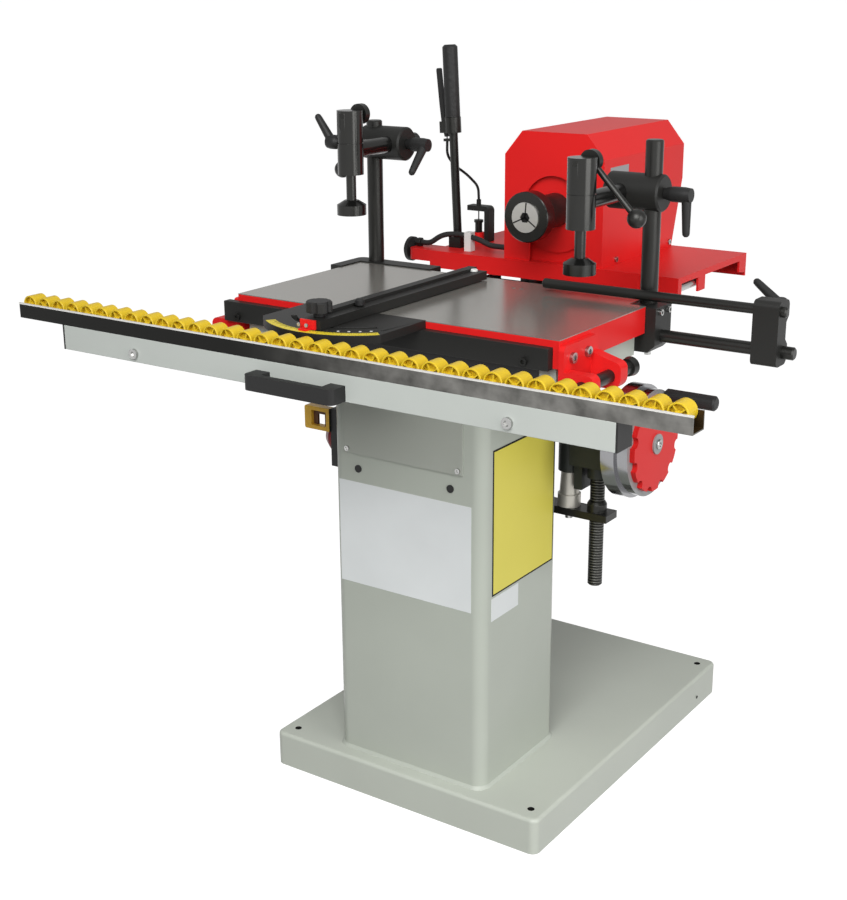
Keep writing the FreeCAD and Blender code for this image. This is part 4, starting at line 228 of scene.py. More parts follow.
# a finish from its color and its look
def newMaterial(name, color, look):
    look = {**plain, **look}
    material = bpy.data.materials.new(name)
    material.use_nodes = True
    shader = material.node_tree.nodes["Principled BSDF"]
    tone = useGroup(material, toneGroup, Color=(*color, 1),
                    Amount=look["tone"], Scale=look["cloud"])
    links = material.node_tree.links
    # a painted reflection: the colour darkens to a dark tone towards one end along X
    if "paintedReflection" in look:
        reflectedDark, start, end = look["paintedReflection"]
        paintedReflection = useGroup(material, reflectionFadeGroup,
                        **{"Far Color": (*reflectedDark, 1), "Start": start, "End": end})
        links.new(tone.outputs["Color"], paintedReflection.inputs["Color"])
        links.new(paintedReflection.outputs["Color"], shader.inputs["Base Color"])
    else:
        links.new(tone.outputs["Color"], shader.inputs["Base Color"])
    for socket, entry in shaderInputs.items():
        shader.inputs[socket].default_value = look[entry]
    if "brush" in look:
        smooth, rough = brushSpread
        marks = useGroup(material, brushGroup, Stretch=look["brush"],
                         Low=look["roughness"] * smooth, High=look["roughness"] * rough)
        links.new(marks.outputs["Roughness"], shader.inputs["Roughness"])
        links.new(marks.outputs["Normal"], shader.inputs["Normal"])
    # painted highlight on the thread crests, painted shade in the grooves
    elif "thread" in look:
        grooves = useGroup(material, threadGroup, Scale=look["thread"])
        crestHighlight = material.node_tree.nodes.new("ShaderNodeMix")
        crestHighlight.data_type = "RGBA"
        crestHighlight.inputs["B"].default_value = (*look["crestHighlight"], 1)
        links.new(grooves.outputs["Factor"], crestHighlight.inputs["Factor"])
        links.new(tone.outputs["Color"], crestHighlight.inputs["A"])
        links.new(crestHighlight.outputs["Result"], shader.inputs["Base Color"])
        links.new(grooves.outputs["Normal"], shader.inputs["Normal"])
    else:
        grain = useGroup(material, grainGroup, Scale=look["grainScale"], Height=look["grain"])
        links.new(grain.outputs["Normal"], shader.inputs["Normal"])
    return material


paint = {
    "roughness": 0.42,
    "coat": 0.15,
    "coatRoughness": 0.25,
    "specular": 0.35,
    "tone": 0.05,
    "grain": 0.03,
}
plastic = {"roughness": 0.5, "specular": 0.3, "tone": 0.04, "grain": 0.06, "grainScale": 900.0}
steel = {"metallic": 1.0, "roughness": 0.3, "tone": 0.08}
darkPaint = dict(paint, roughness=0.5, coat=0.05, specular=0.25, tone=0.15)

basePaint = newMaterial("basePaint", (0.49, 0.52, 0.46), paint)
columnPaint = newMaterial("columnPaint", (0.43, 0.46, 0.405), paint)
# a darker copy of the column paint: painted shade for the cover, which lies in shade under the
# table
coverPaint = newMaterial("coverPaint", (0.37, 0.39, 0.345), paint)
beamPaint = newMaterial("beamPaint", (0.49, 0.52, 0.49), paint)
redPaint = newMaterial("redPaint", (0.7, 0.014, 0.014), dict(paint, coat=0.05, specular=0.18))
blackPaint = newMaterial("blackPaint", (0.012, 0.012, 0.011), darkPaint)
blackSteel = newMaterial("blackSteel", (0.03, 0.03, 0.028), dict(
    steel, roughness=0.34, metallic=0.7, tone=0.25))
polishedBlack = newMaterial("polishedBlack", (0.042, 0.042, 0.04), dict(
    steel, roughness=0.2, metallic=0.85, tone=0.2))
# black screw steel with painted highlights on its thread crests
threadSteel = newMaterial("threadSteel", (0.012, 0.012, 0.011), dict(
    steel, roughness=0.35, metallic=0.8, thread=63.0, crestHighlight=(0.11, 0.11, 0.1)))
darkCasting = newMaterial("darkCasting", (0.03, 0.034, 0.03), dict(
    darkPaint, grain=0.2, grainScale=250.0))
blackPlastic = newMaterial("blackPlastic", (0.012, 0.012, 0.012), plastic)
knurledBlack = newMaterial("knurledBlack", (0.012, 0.012, 0.012), dict(
    plastic, grain=1.0, grainScale=110.0))
blackRubber = newMaterial("blackRubber", (0.016, 0.016, 0.016), dict(plastic, roughness=0.6))
yellowPlastic = newMaterial("yellowPlastic", (0.66, 0.46, 0.018), dict(plastic, roughness=0.35))
scaleYellow = newMaterial("scaleYellow", (0.75, 0.6, 0.03), dict(plastic, roughness=0.4))
switchYellow = newMaterial("switchYellow", (0.72, 0.42, 0.04), dict(plastic, roughness=0.3))
switchBrown = newMaterial("switchBrown", (0.1, 0.045, 0.02), plastic)
darkRed = newMaterial("darkRed", (0.2, 0.005, 0.008), dict(plastic, roughness=0.3))
whitePlastic = newMaterial("whitePlastic", (0.7, 0.7, 0.68), plastic)
panelYellow = newMaterial("panelYellow", (0.72, 0.64, 0.1), dict(plastic, roughness=0.4))
panelWhite = newMaterial("panelWhite", (0.76, 0.79, 0.79), dict(
    plastic, roughness=0.35, tone=0.12, cloud=4.0))
panelGrey = newMaterial("panelGrey", (0.3, 0.31, 0.32), dict(plastic, roughness=0.35))
panelDark = newMaterial("panelDark", (0.02, 0.02, 0.02), dict(plastic, roughness=0.4))
tableSteel = newMaterial("tableSteel", (0.37, 0.357, 0.325), dict(
    steel, metallic=0.6, roughness=0.22, cloud=3.0, grain=0.01))
turnedSteel = newMaterial("turnedSteel", (0.5, 0.48, 0.43), dict(
    steel, metallic=0.6, roughness=0.4, brush=(8.0, 8.0, 900.0)))
barSteel = newMaterial("barSteel", (0.45, 0.45, 0.44), dict(steel, brush=(900.0, 8.0, 8.0)))
# rail steel with a painted reflection: near black towards the left end, giving way to the steel's
# own colour
railSteel = newMaterial("railSteel", (0.25, 0.245, 0.23), dict(
    steel, roughness=0.36, tone=0.6, cloud=30.0,
    paintedReflection=((0.02, 0.02, 0.019), -0.15, 0.3), brush=(5.0, 700.0, 700.0)))
railInside = newMaterial("railInside", (0.09, 0.06, 0.03), dict(steel, roughness=0.5, tone=0.3))
# near-white steel for the rolled edge of the rail: a painted highlight
railEdge = newMaterial("railEdge", (0.85, 0.84, 0.81), dict(steel, metallic=0.7))
chrome = newMaterial("chrome", (0.3, 0.3, 0.31), dict(steel, roughness=0.14, tone=0.02, grain=0.0))
wheelGrey = newMaterial("wheelGrey", (0.27, 0.28, 0.28), dict(paint, roughness=0.35))
screwSteel = newMaterial("screwSteel", (0.45, 0.45, 0.44), dict(steel, roughness=0.25))
jawSteel = newMaterial("jawSteel", (0.68, 0.67, 0.64), dict(steel, roughness=0.35))
# near black: painted shade in the floor holes, the earth hole and the chuck's jaw gaps, and also
# the printed mitre marks and the printed rim of the side panel
holeBlack = newMaterial("holeBlack", (0.004, 0.004, 0.004), dict(plastic, roughness=0.8))
print("materials made")


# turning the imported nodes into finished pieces: merged seams, rounded edges, a finish

def finishNode(name, material, edge=0.0, segments=2, limit=30):
    piece = nodes[name]
    piece.data.materials.clear()
    piece.data.materials.append(material)
    piece.data.polygons.foreach_set("material_index", [0] * len(piece.data.polygons))
    if edge:
        roundEdges(piece, edge, segments, limit)


def roundEdges(piece, edge, segments, limit):
    custom = piece.data.attributes.get("custom_normal")
    if custom:
        piece.data.attributes.remove(custom)
    piece.data.polygons.foreach_set("use_smooth", [True] * len(piece.data.polygons))
    weld = piece.modifiers.new("seams", "WELD")
    weld.merge_threshold = seam
    bevel = piece.modifiers.new("edges", "BEVEL")
    bevel.width = edge
    bevel.segments = segments
    bevel.limit_method = "ANGLE"
    bevel.angle_limit = math.radians(limit)
    bevel.harden_normals = True
    bevel.use_clamp_overlap = True


# gives the faces that a rule picks a second finish
def paintFaces(name, material, rule):
    piece = nodes[name]
    piece.data.materials.append(material)
    index = len(piece.data.materials) - 1
    for face in piece.data.polygons:
        if rule(face.center, face.normal):
            face.material_index = index


# a new piece: build draws it in a bmesh, and it rides on the body
def newPiece(name, body, material, build):
    mesh = bpy.data.meshes.new(name)
    form = bmesh.new()
    build(form)
    bmesh.ops.recalc_face_normals(form, faces=form.faces)
    form.to_mesh(mesh)
    form.free()
    piece = bpy.data.objects.new(name, mesh)
    scene.collection.objects.link(piece)
    mesh.materials.append(material)
    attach(piece, body)
    return piece


def addBlock(form, low, high):
    low, high = Vector(low), Vector(high)
    place = Matrix.Translation((low + high) / 2) @ Matrix.Diagonal((*(high - low), 1))
    return bmesh.ops.create_cube(form, size=1, matrix=place)["verts"]


axisTurns = {
    "X": Matrix.Rotation(math.radians(90), 4, "Y"),
    "Y": Matrix.Rotation(math.radians(-90), 4, "X"),
    "Z": Matrix.Identity(4),
}


# a round bar between two points
def addBar(form, start, end, radius, sides):
    start, end = Vector(start), Vector(end)
    along = end - start
    turn = along.to_track_quat("Z", "Y").to_matrix().to_4x4()
    place = Matrix.Translation((start + end) / 2) @ turn
    bmesh.ops.create_cone(form, cap_ends=True, segments=sides, radius1=radius, radius2=radius,
                          depth=along.length, matrix=place)


# a profile of (radius, height) pairs, from pole to pole, spun about an axis through a point
def addTurned(form, profile, place, axis, sides):
    turn = Matrix.Translation(place) @ axisTurns[axis]
    points = [form.verts.new(turn @ Vector((radius, 0, height))) for radius, height in profile]
    edges = [form.edges.new(pair) for pair in zip(points, points[1:])]
    already = set(form.verts) - set(points)
    along = turn.to_3x3() @ Vector((0, 0, 1))
    bmesh.ops.spin(form, geom=points + edges, cent=Vector(place), axis=along,
                   angle=2 * math.pi, steps=sides, use_merge=True)
    spun = [vert for vert in form.verts if vert not in already]
    bmesh.ops.remove_doubles(form, verts=spun, dist=seam)


# base and column
floorHole = {"x": 0.243, "y": 0.320, "reach": 0.0068, "wallSlope": 0.3}


def inShadedFloorHole(centre, normal):
    gap = math.hypot(abs(centre.x) - floorHole["x"], abs(centre.y) - floorHole["y"])
    return abs(normal.z) < floorHole["wallSlope"] and gap < floorHole["reach"]


finishNode("base_plate", basePaint)
# the walls of the four floor holes are painted near black: painted shade inside the holes
paintFaces("base_plate", holeBlack, inShadedFloorHole)
earth = {"side": 0.271, "y": 0.263, "level": 0.022, "radius": 0.003, "thick": 0.0002, "sides": 20}


# small threaded hole for an earth wire in the right face of the base, drawn as a thin near-black
# disc: painted shade of the hole
def earthHole(form):
    addBar(form, (earth["side"] - earth["thick"], earth["y"], earth["level"]),
           (earth["side"] + earth["thick"], earth["y"], earth["level"]),
           earth["radius"], earth["sides"])


newPiece("earthHole", "frame", holeBlack, earthHole)
finishNode("column", columnPaint, edge=0.001)
# the cover's darker paint is painted shade under the table
finishNode("column_cover", coverPaint, edge=0.0006)
finishNode("column_fasteners", screwSteel, edge=0.0004)
plugs = {"before": -0.31, "below": 0.595}
paintFaces("column_fasteners", blackPlastic,
           lambda centre, normal: centre.y < plugs["before"] and centre.z < plugs["below"])
plates = {
    "front": -0.320,
    "side": 0.1485,
    "thick": 0.0006,
    "panelThick": 0.0009,
    "rim": 0.003,
    "frontPlate": ((-0.134, 0.38), (0.126, 0.56)),
    "sidePanel": ((-0.293, 0.404), (-0.100, 0.650)),
    "sideLabel": ((-0.295, 0.361), (-0.212, 0.400)),
}


# blank plate stuck on the front of the column, blank panel and label on its right side
def columnPlate(form):
    (left, low), (right, high) = plates["frontPlate"]
    addBlock(form, (left, plates["front"] - plates["thick"], low), (right, plates["front"], high))


def addSidePlate(form, corners, thick, inset=0.0):
    (front, low), (back, high) = corners
    addBlock(form, (plates["side"], front + inset, low + inset),
             (plates["side"] + thick, back - inset, high - inset))


def sidePanel(form):
    addSidePlate(form, plates["sidePanel"], plates["panelThick"], plates["rim"])


def sidePanelRim(form):
    addSidePlate(form, plates["sidePanel"], plates["thick"])


def sideLabel(form):
    addSidePlate(form, plates["sideLabel"], plates["thick"])


newPiece("columnPlate", "frame", panelWhite, columnPlate)
newPiece("sidePanel", "frame", panelYellow, sidePanel)
newPiece("sidePanelRim", "frame", holeBlack, sidePanelRim)
newPiece("sideLabel", "frame", panelWhite, sideLabel)
print("base and column finished")

# switch on the column's left side
finishNode("switch_housing", blackPlastic, edge=0.0008)
guard = {
    "block": -0.171,
    "left": -0.2085,
    "right": -0.1775,
    "low": 0.635,
    "high": 0.661,
    "front": -0.291,
    "back": -0.286,
    "leftWeb": 0.0085,
    "rightWeb": 0.0075,
    "topWeb": 0.007,
}
paintFaces("switch_housing", switchYellow, lambda centre, normal: centre.x < guard["block"])
finishNode("switch_button", darkRed, edge=0.0006)


# brown lining of the loop guard, with a small opening left
def guardLining(form):
    front, back, low, high = guard["front"], guard["back"], guard["low"], guard["high"]
    innerLeft, innerRight = guard["left"] + guard["leftWeb"], guard["right"] - guard["rightWeb"]
    webLow = high - guard["topWeb"]
    addBlock(form, (guard["left"], front, low), (innerLeft, back, high))
    addBlock(form, (innerLeft, front, webLow), (guard["right"], back, high))
    addBlock(form, (innerRight, front, low), (guard["right"], back, webLow))


newPiece("guardLining", "frame", switchBrown, guardLining)

# rear bracket, nut plate, pillars, screw and lift carriage
finishNode("rear_bracket", blackPaint, edge=0.001)
finishNode("nut_plate", blackSteel, edge=0.0008)
finishNode("guide_pillars", turnedSteel, edge=0.0006)
finishNode("lift_carriage", darkCasting, edge=0.0015)
finishNode("lead_screw", threadSteel, edge=0.0004)
print("lift finished")

# table
finishNode("table_frame", columnPaint, edge=0.0008)
finishNode("table_skirt", redPaint, edge=0.001)
finishNode("table_top", tableSteel)
finishNode("front_bar", blackPaint, edge=0.001)
finishNode("side_brackets", redPaint, edge=0.002)
finishNode("post_brackets", blackPaint, edge=0.001)
finishNode("table_screws", screwSteel, edge=0.0004)
finishNode("protractor_plate", blackPaint, edge=0.0006)
barScrewsBefore = -0.37
paintFaces("table_screws", blackSteel, lambda centre, normal: centre.y < barScrewsBefore)

gauge = {
    "centre": (-0.0386, -0.377),
    "top": 0.8615,
    "scaleInner": 0.134,
    "scaleOuter": 0.149,
    "scaleFrom": -128,
    "scaleTo": -43,
    "scaleThick": 0.0002,
    "markFrom": -125,
    "markLow": 0.135,
    "markShort": 0.004,
    "markLong": 0.009,
    "markLongEvery": 5,
    "markHalf": 0.0002,
    "markThick": 0.0001,
    "pinCircle": 0.124,
    "pinAngles": (-69, -61.5, -54, -46.5),
    "pinRadius": 0.0022,
    "pinDown": 0.005,
    "pinUp": 0.0003,
    "pinSides": 20,
}


def gaugePoint(radius, degrees, level):
    angle = math.radians(degrees)
    x, y = gauge["centre"]
    return (x + radius * math.cos(angle), y + radius * math.sin(angle), level)


# yellow ring with its degree marks, printed on the front edge of the mitre plate
def mitreScale(form):
    low, high = gauge["top"], gauge["top"] + gauge["scaleThick"]
    inner, outer = gauge["scaleInner"], gauge["scaleOuter"]
    corners = [form.verts.new(gaugePoint(radius, gauge["scaleFrom"], level))
               for radius, level in ((inner, low), (outer, low), (outer, high), (inner, high))]
    face = form.faces.new(corners)
    count = gauge["scaleTo"] - gauge["scaleFrom"]
    bmesh.ops.spin(form, geom=corners + list(face.edges) + [face], cent=(*gauge["centre"], 0),
                   axis=(0, 0, 1), angle=math.radians(count), steps=count)


def mitreMarks(form):
    middle = Matrix.Translation((*gauge["centre"], gauge["top"] + gauge["scaleThick"]))
    for degrees in range(gauge["markFrom"], gauge["scaleTo"]):
        length = gauge["markShort"] if degrees % gauge["markLongEvery"] else gauge["markLong"]
        verts = addBlock(form, (gauge["markLow"], -gauge["markHalf"], 0),
                         (gauge["markLow"] + length, gauge["markHalf"], gauge["markThick"]))
        turn = middle @ Matrix.Rotation(math.radians(degrees), 4, "Z")
        bmesh.ops.transform(form, matrix=turn, verts=verts)


# pins that stand in the small holes of the plate
def mitrePins(form):
    low, high = gauge["top"] - gauge["pinDown"], gauge["top"] + gauge["pinUp"]
    for degrees in gauge["pinAngles"]:
        addBar(form, gaugePoint(gauge["pinCircle"], degrees, low),
               gaugePoint(gauge["pinCircle"], degrees, high), gauge["pinRadius"], gauge["pinSides"])


newPiece("mitreScale", "table", scaleYellow, mitreScale)
newPiece("mitreMarks", "table", holeBlack, mitreMarks)
newPiece("mitrePins", "table", whitePlastic, mitrePins)


strip = {"low": (-0.200, -0.3525, 0.790), "high": (0.262, -0.352, 0.8155)}


# dark strip under the front bar
def apronStrip(form):
    addBlock(form, strip["low"], strip["high"])


newPiece("apronStrip", "table", panelDark, apronStrip)

# handwheel: bright rim, grey face, red scalloped disc, grey hub
wheel = {
    "y": -0.040,
    "level": 0.622,
    "rimBack": 0.251,
    "rimFront": 0.2965,
    "rimInner": 0.0715,
    "discFront": 0.3063,
    "hub": 0.0172,
    "screwSides": 32,
    "screwProfile": (
        (0, 0.309), (0.0075, 0.309), (0.0085, 0.3095), (0.0085, 0.3115),
        (0.0075, 0.3125), (0.004, 0.3125), (0.004, 0.3105), (0, 0.3105),
    ),
}


def wheelRadius(centre):
    return math.hypot(centre.y - wheel["y"], centre.z - wheel["level"])


def onRim(centre, normal):
    deep = wheel["rimBack"] < centre.x < wheel["rimFront"]
    return deep and wheelRadius(centre) > wheel["rimInner"]


def onHub(centre, normal):
    return centre.x > wheel["discFront"] and wheelRadius(centre) < wheel["hub"]


finishNode("handwheel", wheelGrey, edge=0.001)
paintFaces("handwheel", chrome, onRim)
paintFaces("handwheel", blackSteel, lambda centre, normal: centre.x < wheel["rimBack"])
finishNode("handwheel_disc", redPaint, edge=0.0008)
paintFaces("handwheel_disc", wheelGrey, onHub)
finishNode("crank_grip", blackPlastic, edge=0.001)


# screw with a round recess in the middle of the hub
def wheelScrew(form):
    addTurned(form, wheel["screwProfile"], (0, wheel["y"], wheel["level"]),
              "X", wheel["screwSides"])


newPiece("wheelScrew", "wheel", screwSteel, wheelScrew)
print("table and handwheel finished")

# clamps
for side in ("right", "left"):
    finishNode("post_" + side, blackSteel)
    finishNode("barrel_" + side, blackPaint, edge=0.0008)
    finishNode("arm_" + side, polishedBlack, edge=0.0006)
    finishNode("plunger_" + side, polishedBlack, edge=0.0008)
    finishNode("cam_lever_" + side, blackSteel, edge=0.0008)
    finishNode("ratchet_" + side, blackPlastic, edge=0.001)
finishNode("head_lever_left", blackPlastic, edge=0.001)

# swing stop and fence
finishNode("stop_rod_lower", blackSteel)
finishNode("stop_rod_upper", blackSteel)
finishNode("stop_end_block", blackPaint, edge=0.0012)
finishNode("stop_lever", blackPlastic, edge=0.001)
finishNode("star_knob", blackPlastic, edge=0.0015)
finishNode("fence_bar", blackPaint, edge=0.0008)
fence = {
    "top": 0.8765,
    "pointerBack": -0.5055,
    "pointerFront": -0.5202,
    "screwX": (-0.0456, -0.0316),
    "screwLevel": 0.8705,
    "screwSides": 20,
    "screwProfile": ((0, 0), (0.003, 0), (0.003, 0.0014), (0.0022, 0.002), (0, 0.002)),
    "knob": (-0.030, -0.392),
    "knobSides": 32,
    "knobProfile": (
        (0, 0), (0.0055, 0), (0.0075, 0.002), (0.0075, 0.009), (0.005, 0.0115), (0, 0.0115),
    ),
    "stud": (-0.0325, -0.067),
    "studSides": 24,
    "studProfile": ((0, 0), (0.0062, 0), (0.0062, 0.0025), (0.005, 0.004), (0, 0.004)),
}
paintFaces("fence_bar", redPaint, lambda centre, normal: centre.y < fence["pointerBack"])


# two small screws that hold the red pointer
def pointerScrews(form):
    for x in fence["screwX"]:
        addTurned(form, fence["screwProfile"], (x, fence["pointerFront"], fence["screwLevel"]),
                  "Y", fence["screwSides"])


# spring knob on the fence and a stop stud near its back end
def fenceKnob(form):
    addTurned(form, fence["knobProfile"], (*fence["knob"], fence["top"]), "Z", fence["knobSides"])


def fenceStud(form):
    addTurned(form, fence["studProfile"], (*fence["stud"], fence["top"]), "Z", fence["studSides"])


newPiece("pointerScrews", "fence", screwSteel, pointerScrews)
newPiece("fenceKnob", "fence", blackPlastic, fenceKnob)
newPiece("fenceStud", "fence", whitePlastic, fenceStud)
print("clamps and stops finished")

# front support with its rollers
finishNode("support_beam", beamPaint, edge=0.001)
finishNode("beam_fittings", blackPlastic, edge=0.0012)
finishNode("roller_rail", railSteel, edge=0.0004)
rail = {
    "front": -0.5645,
    "back": -0.5325,
    "floor": 0.8225,
    "endSlope": 0.5,
    "half": 0.6,
    "bead": 0.0018,
    "beadSides": 12,
    "beadY": -0.564,
    "top": 0.8458,
    "boltsBefore": -0.565,
}


def inRail(centre, normal):
    return (rail["front"] < centre.y < rail["back"] and centre.z > rail["floor"]
            and abs(normal.x) < rail["endSlope"])


paintFaces("roller_rail", railInside, inRail)
finishNode("support_rods", blackSteel, edge=0.0006)
paintFaces("support_rods", screwSteel, lambda centre, normal: centre.y < rail["boltsBefore"])
roller = {
    "count": 36,
    "first": -0.5775,
    "pitch": 0.033,
    "level": 0.845,
    "front": -0.562,
    "length": 0.027,
    "radius": 0.015,
    "inner": 0.0125,
    "recess": 0.008,
    "hub": 0.0048,
    "hubLength": 0.009,
    "sides": 32,
    "hubSides": 16,
    "turnStep": 0.7,
    "spokes": 4,
    "spokeStart": 0.00384,
    "spokeEnd": 0.0128,
    "spokeFront": 0.0016,
    "spokeHalf": 0.0009,
    "pinFront": 0.0005,
    "pinBack": 0.004,
    "pinRadius": 0.0022,
    "pinSides": 12,
}
roller["shell"] = (
    (0, roller["recess"]),
    (roller["inner"], roller["recess"]),
    (roller["inner"], 0.0006),
    (roller["inner"] + 0.0005, 0.0),
    (roller["radius"] - 0.0006, 0.0),
    (roller["radius"], 0.0008),
    (roller["radius"], roller["length"] - 0.0008),
    (roller["radius"] - 0.0008, roller["length"]),
    (0, roller["length"]),
)
roller["core"] = (
    (0, 0),
    (roller["hub"], 0),
    (roller["hub"], roller["hubLength"]),
    (0, roller["hubLength"]),
)


# moulded rollers, each with a hub and spokes in its front, turned a little further than the last
def rollerRow(form):
    for place in range(roller["count"]):
        front = (roller["first"] + roller["pitch"] * place, roller["front"], roller["level"])
        addTurned(form, roller["shell"], front, "Y", roller["sides"])
        addTurned(form, roller["core"], front, "Y", roller["hubSides"])
        for spoke in range(roller["spokes"]):
            angle = roller["turnStep"] * place + 2 * math.pi * spoke / roller["spokes"]
            verts = addBlock(
                form, (roller["spokeStart"], roller["spokeFront"], -roller["spokeHalf"]),
                (roller["spokeEnd"], roller["recess"], roller["spokeHalf"]))
            turn = Matrix.Translation(front) @ Matrix.Rotation(angle, 4, "Y")
            bmesh.ops.transform(form, matrix=turn, verts=verts)


rollers = newPiece("rollerRow", "front_support", yellowPlastic, rollerRow)
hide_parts("rollers")


def rollerPins(form):
    for place in range(roller["count"]):
        x = roller["first"] + roller["pitch"] * place
        addBar(form, (x, roller["front"] - roller["pinFront"], roller["level"]),
               (x, roller["front"] + roller["pinBack"], roller["level"]),
               roller["pinRadius"], roller["pinSides"])


newPiece("rollerPins", "front_support", screwSteel, rollerPins)


# rolled edge along the front wall of the rail, in near-white steel as a painted highlight
def railBead(form):
    addBar(form, (-rail["half"], rail["beadY"], rail["top"]),
           (rail["half"], rail["beadY"], rail["top"]), rail["bead"], rail["beadSides"])


newPiece("railBead", "front_support", railEdge, railBead)
print("front support finished")

# carriage and head
finishNode("x_carriage", darkCasting, edge=0.001)
finishNode("head_plate", redPaint, edge=0.0012)
finishNode("guide_rods", barSteel)
finishNode("arm_knob", blackPlastic, edge=0.001)
finishNode("hood", redPaint, edge=0.0016, segments=3, limit=20)
spindle = {
    "x": 0.009,
    "level": 0.958,
    "neckBack": 0.1335,
    "neck": 0.031,
    "jawBack": 0.041,
    "jaws": 0.0261,
    "hoodSide": 0.0996,
}


def spindleRadius(centre):
    return math.hypot(centre.x - spindle["x"], centre.z - spindle["level"])


def onHoodScrew(centre, normal):
    return abs(centre.x - spindle["x"]) > spindle["hoodSide"]


def onNeck(centre, normal):
    return centre.y < spindle["neckBack"] and spindleRadius(centre) < spindle["neck"]


def onJaw(centre, normal):
    return centre.y < spindle["jawBack"] and spindleRadius(centre) < spindle["jaws"]


paintFaces("hood", screwSteel, onHoodScrew)
finishNode("motor", redPaint, edge=0.0008)
paintFaces("motor", blackSteel, onNeck)
finishNode("chuck", polishedBlack, edge=0.0008)
paintFaces("chuck", jawSteel, onJaw)
jaw = {
    "count": 3,
    "firstGap": 35,
    "front": 0.028,
    "inner": 0.0095,
    "outer": 0.0256,
    "gapHalf": 0.0012,
    "thick": 0.0002,
    "mouthSides": 6,
}


# near-black slivers on the chuck face: painted shade in the gaps between the three jaws and in the
# six-sided mouth that they leave
def jawGaps(form):
    mouth = (spindle["x"], jaw["front"], spindle["level"])
    for place in range(jaw["count"]):
        verts = addBlock(form, (0, -jaw["thick"], -jaw["gapHalf"]),
                         (jaw["outer"], 0, jaw["gapHalf"]))
        degrees = jaw["firstGap"] + 360 * place / jaw["count"]
        turn = Matrix.Translation(mouth) @ Matrix.Rotation(math.radians(degrees), 4, "Y")
        bmesh.ops.transform(form, matrix=turn, verts=verts)
    profile = ((0, -jaw["thick"]), (jaw["inner"], -jaw["thick"]), (jaw["inner"], 0), (0, 0))
    addTurned(form, profile, mouth, "Y", jaw["mouthSides"])


newPiece("jawGaps", "spindle_chuck", holeBlack, jawGaps)
finishNode("lever_tube", blackSteel, edge=0.0005)
finishNode("lever_grip", knurledBlack, edge=0.001)
finishNode("hand_lever", blackPlastic, edge=0.0008)
finishNode("bowden_cable", blackRubber)
finishNode("motor_cable", blackRubber)
finishNode("cable_fittings", blackPaint, edge=0.0008)
clipFrom = -0.19
paintFaces("cable_fittings", whitePlastic, lambda centre, normal: centre.x > clipFrom)
finishNode("index_plunger", blackSteel, edge=0.0004)
hoodLabel = {"low": (0.1085, 0.147, 1.016), "high": (0.1089, 0.215, 1.036)}


# blank plate on the right side of the hood
def hoodPlate(form):
    addBlock(form, hoodLabel["low"], hoodLabel["high"])


newPiece("hoodPlate", "head", panelGrey, hoodPlate)
print("head finished")

# floor, light and camera
studio = {
    "floorHalf": 300,
    "floorLevel": -0.0005,
    "floorColor": (0.22, 0.22, 0.22, 1),
    "floorRoughness": 0.9,
    "floorSpecular": 0.1,
    "floorSeen": 0.96,
    "floorUnseen": 0.0,
    "airSeen": 0.6,
    "airUnseen": 0.12,
    "white": (1, 1, 1, 1),
    "lampsAim": (0, -0.1, 0.7),
}


# one strength where a surface is seen or mirrored, another where it only lights the object
def shineWhenSeen(tree, unseen, seen, socket):
    path = tree.nodes.new("ShaderNodeLightPath")
    either = tree.nodes.new("ShaderNodeMath")
    either.operation = "ADD"
    either.use_clamp = True
    strength = tree.nodes.new("ShaderNodeMapRange")
    strength.inputs["To Min"].default_value = unseen
    strength.inputs["To Max"].default_value = seen
    tree.links.new(path.outputs["Is Camera Ray"], either.inputs[0])
    tree.links.new(path.outputs["Is Glossy Ray"], either.inputs[1])
    tree.links.new(either.outputs[0], strength.inputs["Value"])
    tree.links.new(strength.outputs["Result"], socket)


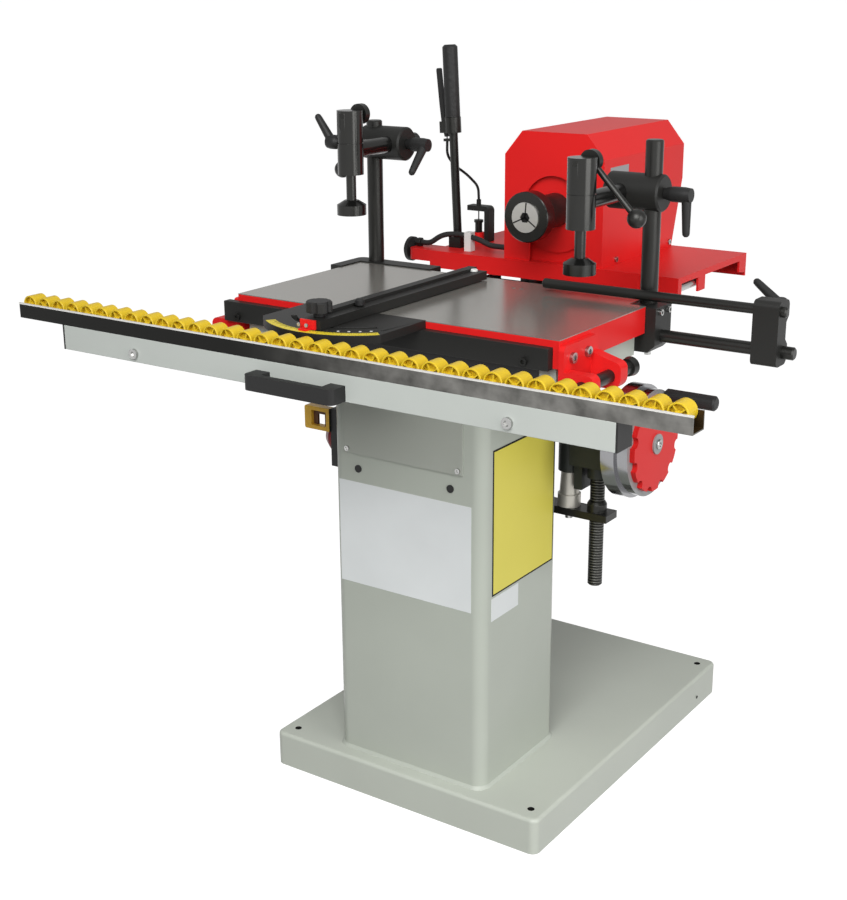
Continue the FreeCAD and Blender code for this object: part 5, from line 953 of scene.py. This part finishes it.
floorMesh = bpy.data.meshes.new("studioFloor")
floorForm = bmesh.new()
bmesh.ops.create_grid(floorForm, x_segments=1, y_segments=1, size=studio["floorHalf"])
floorForm.to_mesh(floorMesh)
floorForm.free()
floor = bpy.data.objects.new("studioFloor", floorMesh)
scene.collection.objects.link(floor)
floor.location.z = studio["floorLevel"]
floorPaint = bpy.data.materials.new("studioFloorPaint")
floorPaint.use_nodes = True
floorShader = floorPaint.node_tree.nodes["Principled BSDF"]
floorShader.inputs["Base Color"].default_value = studio["floorColor"]
floorShader.inputs["Roughness"].default_value = studio["floorRoughness"]
floorShader.inputs["Specular IOR Level"].default_value = studio["floorSpecular"]
floorShader.inputs["Emission Color"].default_value = studio["white"]
shineWhenSeen(floorPaint.node_tree, studio["floorUnseen"], studio["floorSeen"],
              floorShader.inputs["Emission Strength"])
floorMesh.materials.append(floorPaint)

world = bpy.data.worlds.new("studioAir")
scene.world = world
world.use_nodes = True
air = world.node_tree.nodes["Background"]
air.inputs["Color"].default_value = studio["white"]
shineWhenSeen(world.node_tree, studio["airUnseen"], studio["airSeen"], air.inputs["Strength"])

# where each lamp stands, its power and its size
lamps = {
    "keyLamp": ((1.4, -3.2, 3.2), 200, 3.0),
    "fillLamp": ((3.4, -0.8, 1.6), 70, 2.4),
    "topLamp": ((0.2, 0.4, 3.8), 8, 2.6),
}
for name, (place, power, size) in lamps.items():
    light = bpy.data.lights.new(name, "AREA")
    light.energy = power
    light.size = size
    lamp = bpy.data.objects.new(name, light)
    scene.collection.objects.link(lamp)
    lamp.location = place
    aim = Vector(studio["lampsAim"]) - Vector(place)
    lamp.rotation_euler = aim.to_track_quat("-Z", "Y").to_euler()

# the camera as fitted to the photograph, with its focal length and picture height in pixels
photo = {
    "place": (1.2948, -2.1375, 1.3501),
    "forward": (-0.5421, 0.7826, -0.3062),
    "roll": -0.42,
    "focal": 1468.7,
    "height": 900,
    "sensor": 36,
    "clipEnd": 600,
}
cameraData = bpy.data.cameras.new("photoCamera")
camera = bpy.data.objects.new("photoCamera", cameraData)
scene.collection.objects.link(camera)
forward = Vector(photo["forward"]).normalized()
right = forward.cross(Vector((0, 0, 1))).normalized()
upward = right.cross(forward)
roll = math.radians(photo["roll"])
rolledRight = right * math.cos(roll) + upward * math.sin(roll)
rolledUp = rolledRight.cross(forward)
camera.matrix_world = Matrix.Translation(photo["place"]) @ Matrix((
    (rolledRight.x, rolledUp.x, -forward.x),
    (rolledRight.y, rolledUp.y, -forward.y),
    (rolledRight.z, rolledUp.z, -forward.z),
)).to_4x4()
cameraData.sensor_width = photo["sensor"]
cameraData.sensor_fit = "AUTO"
cameraData.lens = photo["focal"] * photo["sensor"] / photo["height"]
cameraData.clip_end = photo["clipEnd"]
scene.camera = camera

scene.view_settings.view_transform = "Standard"

print("scene ready")
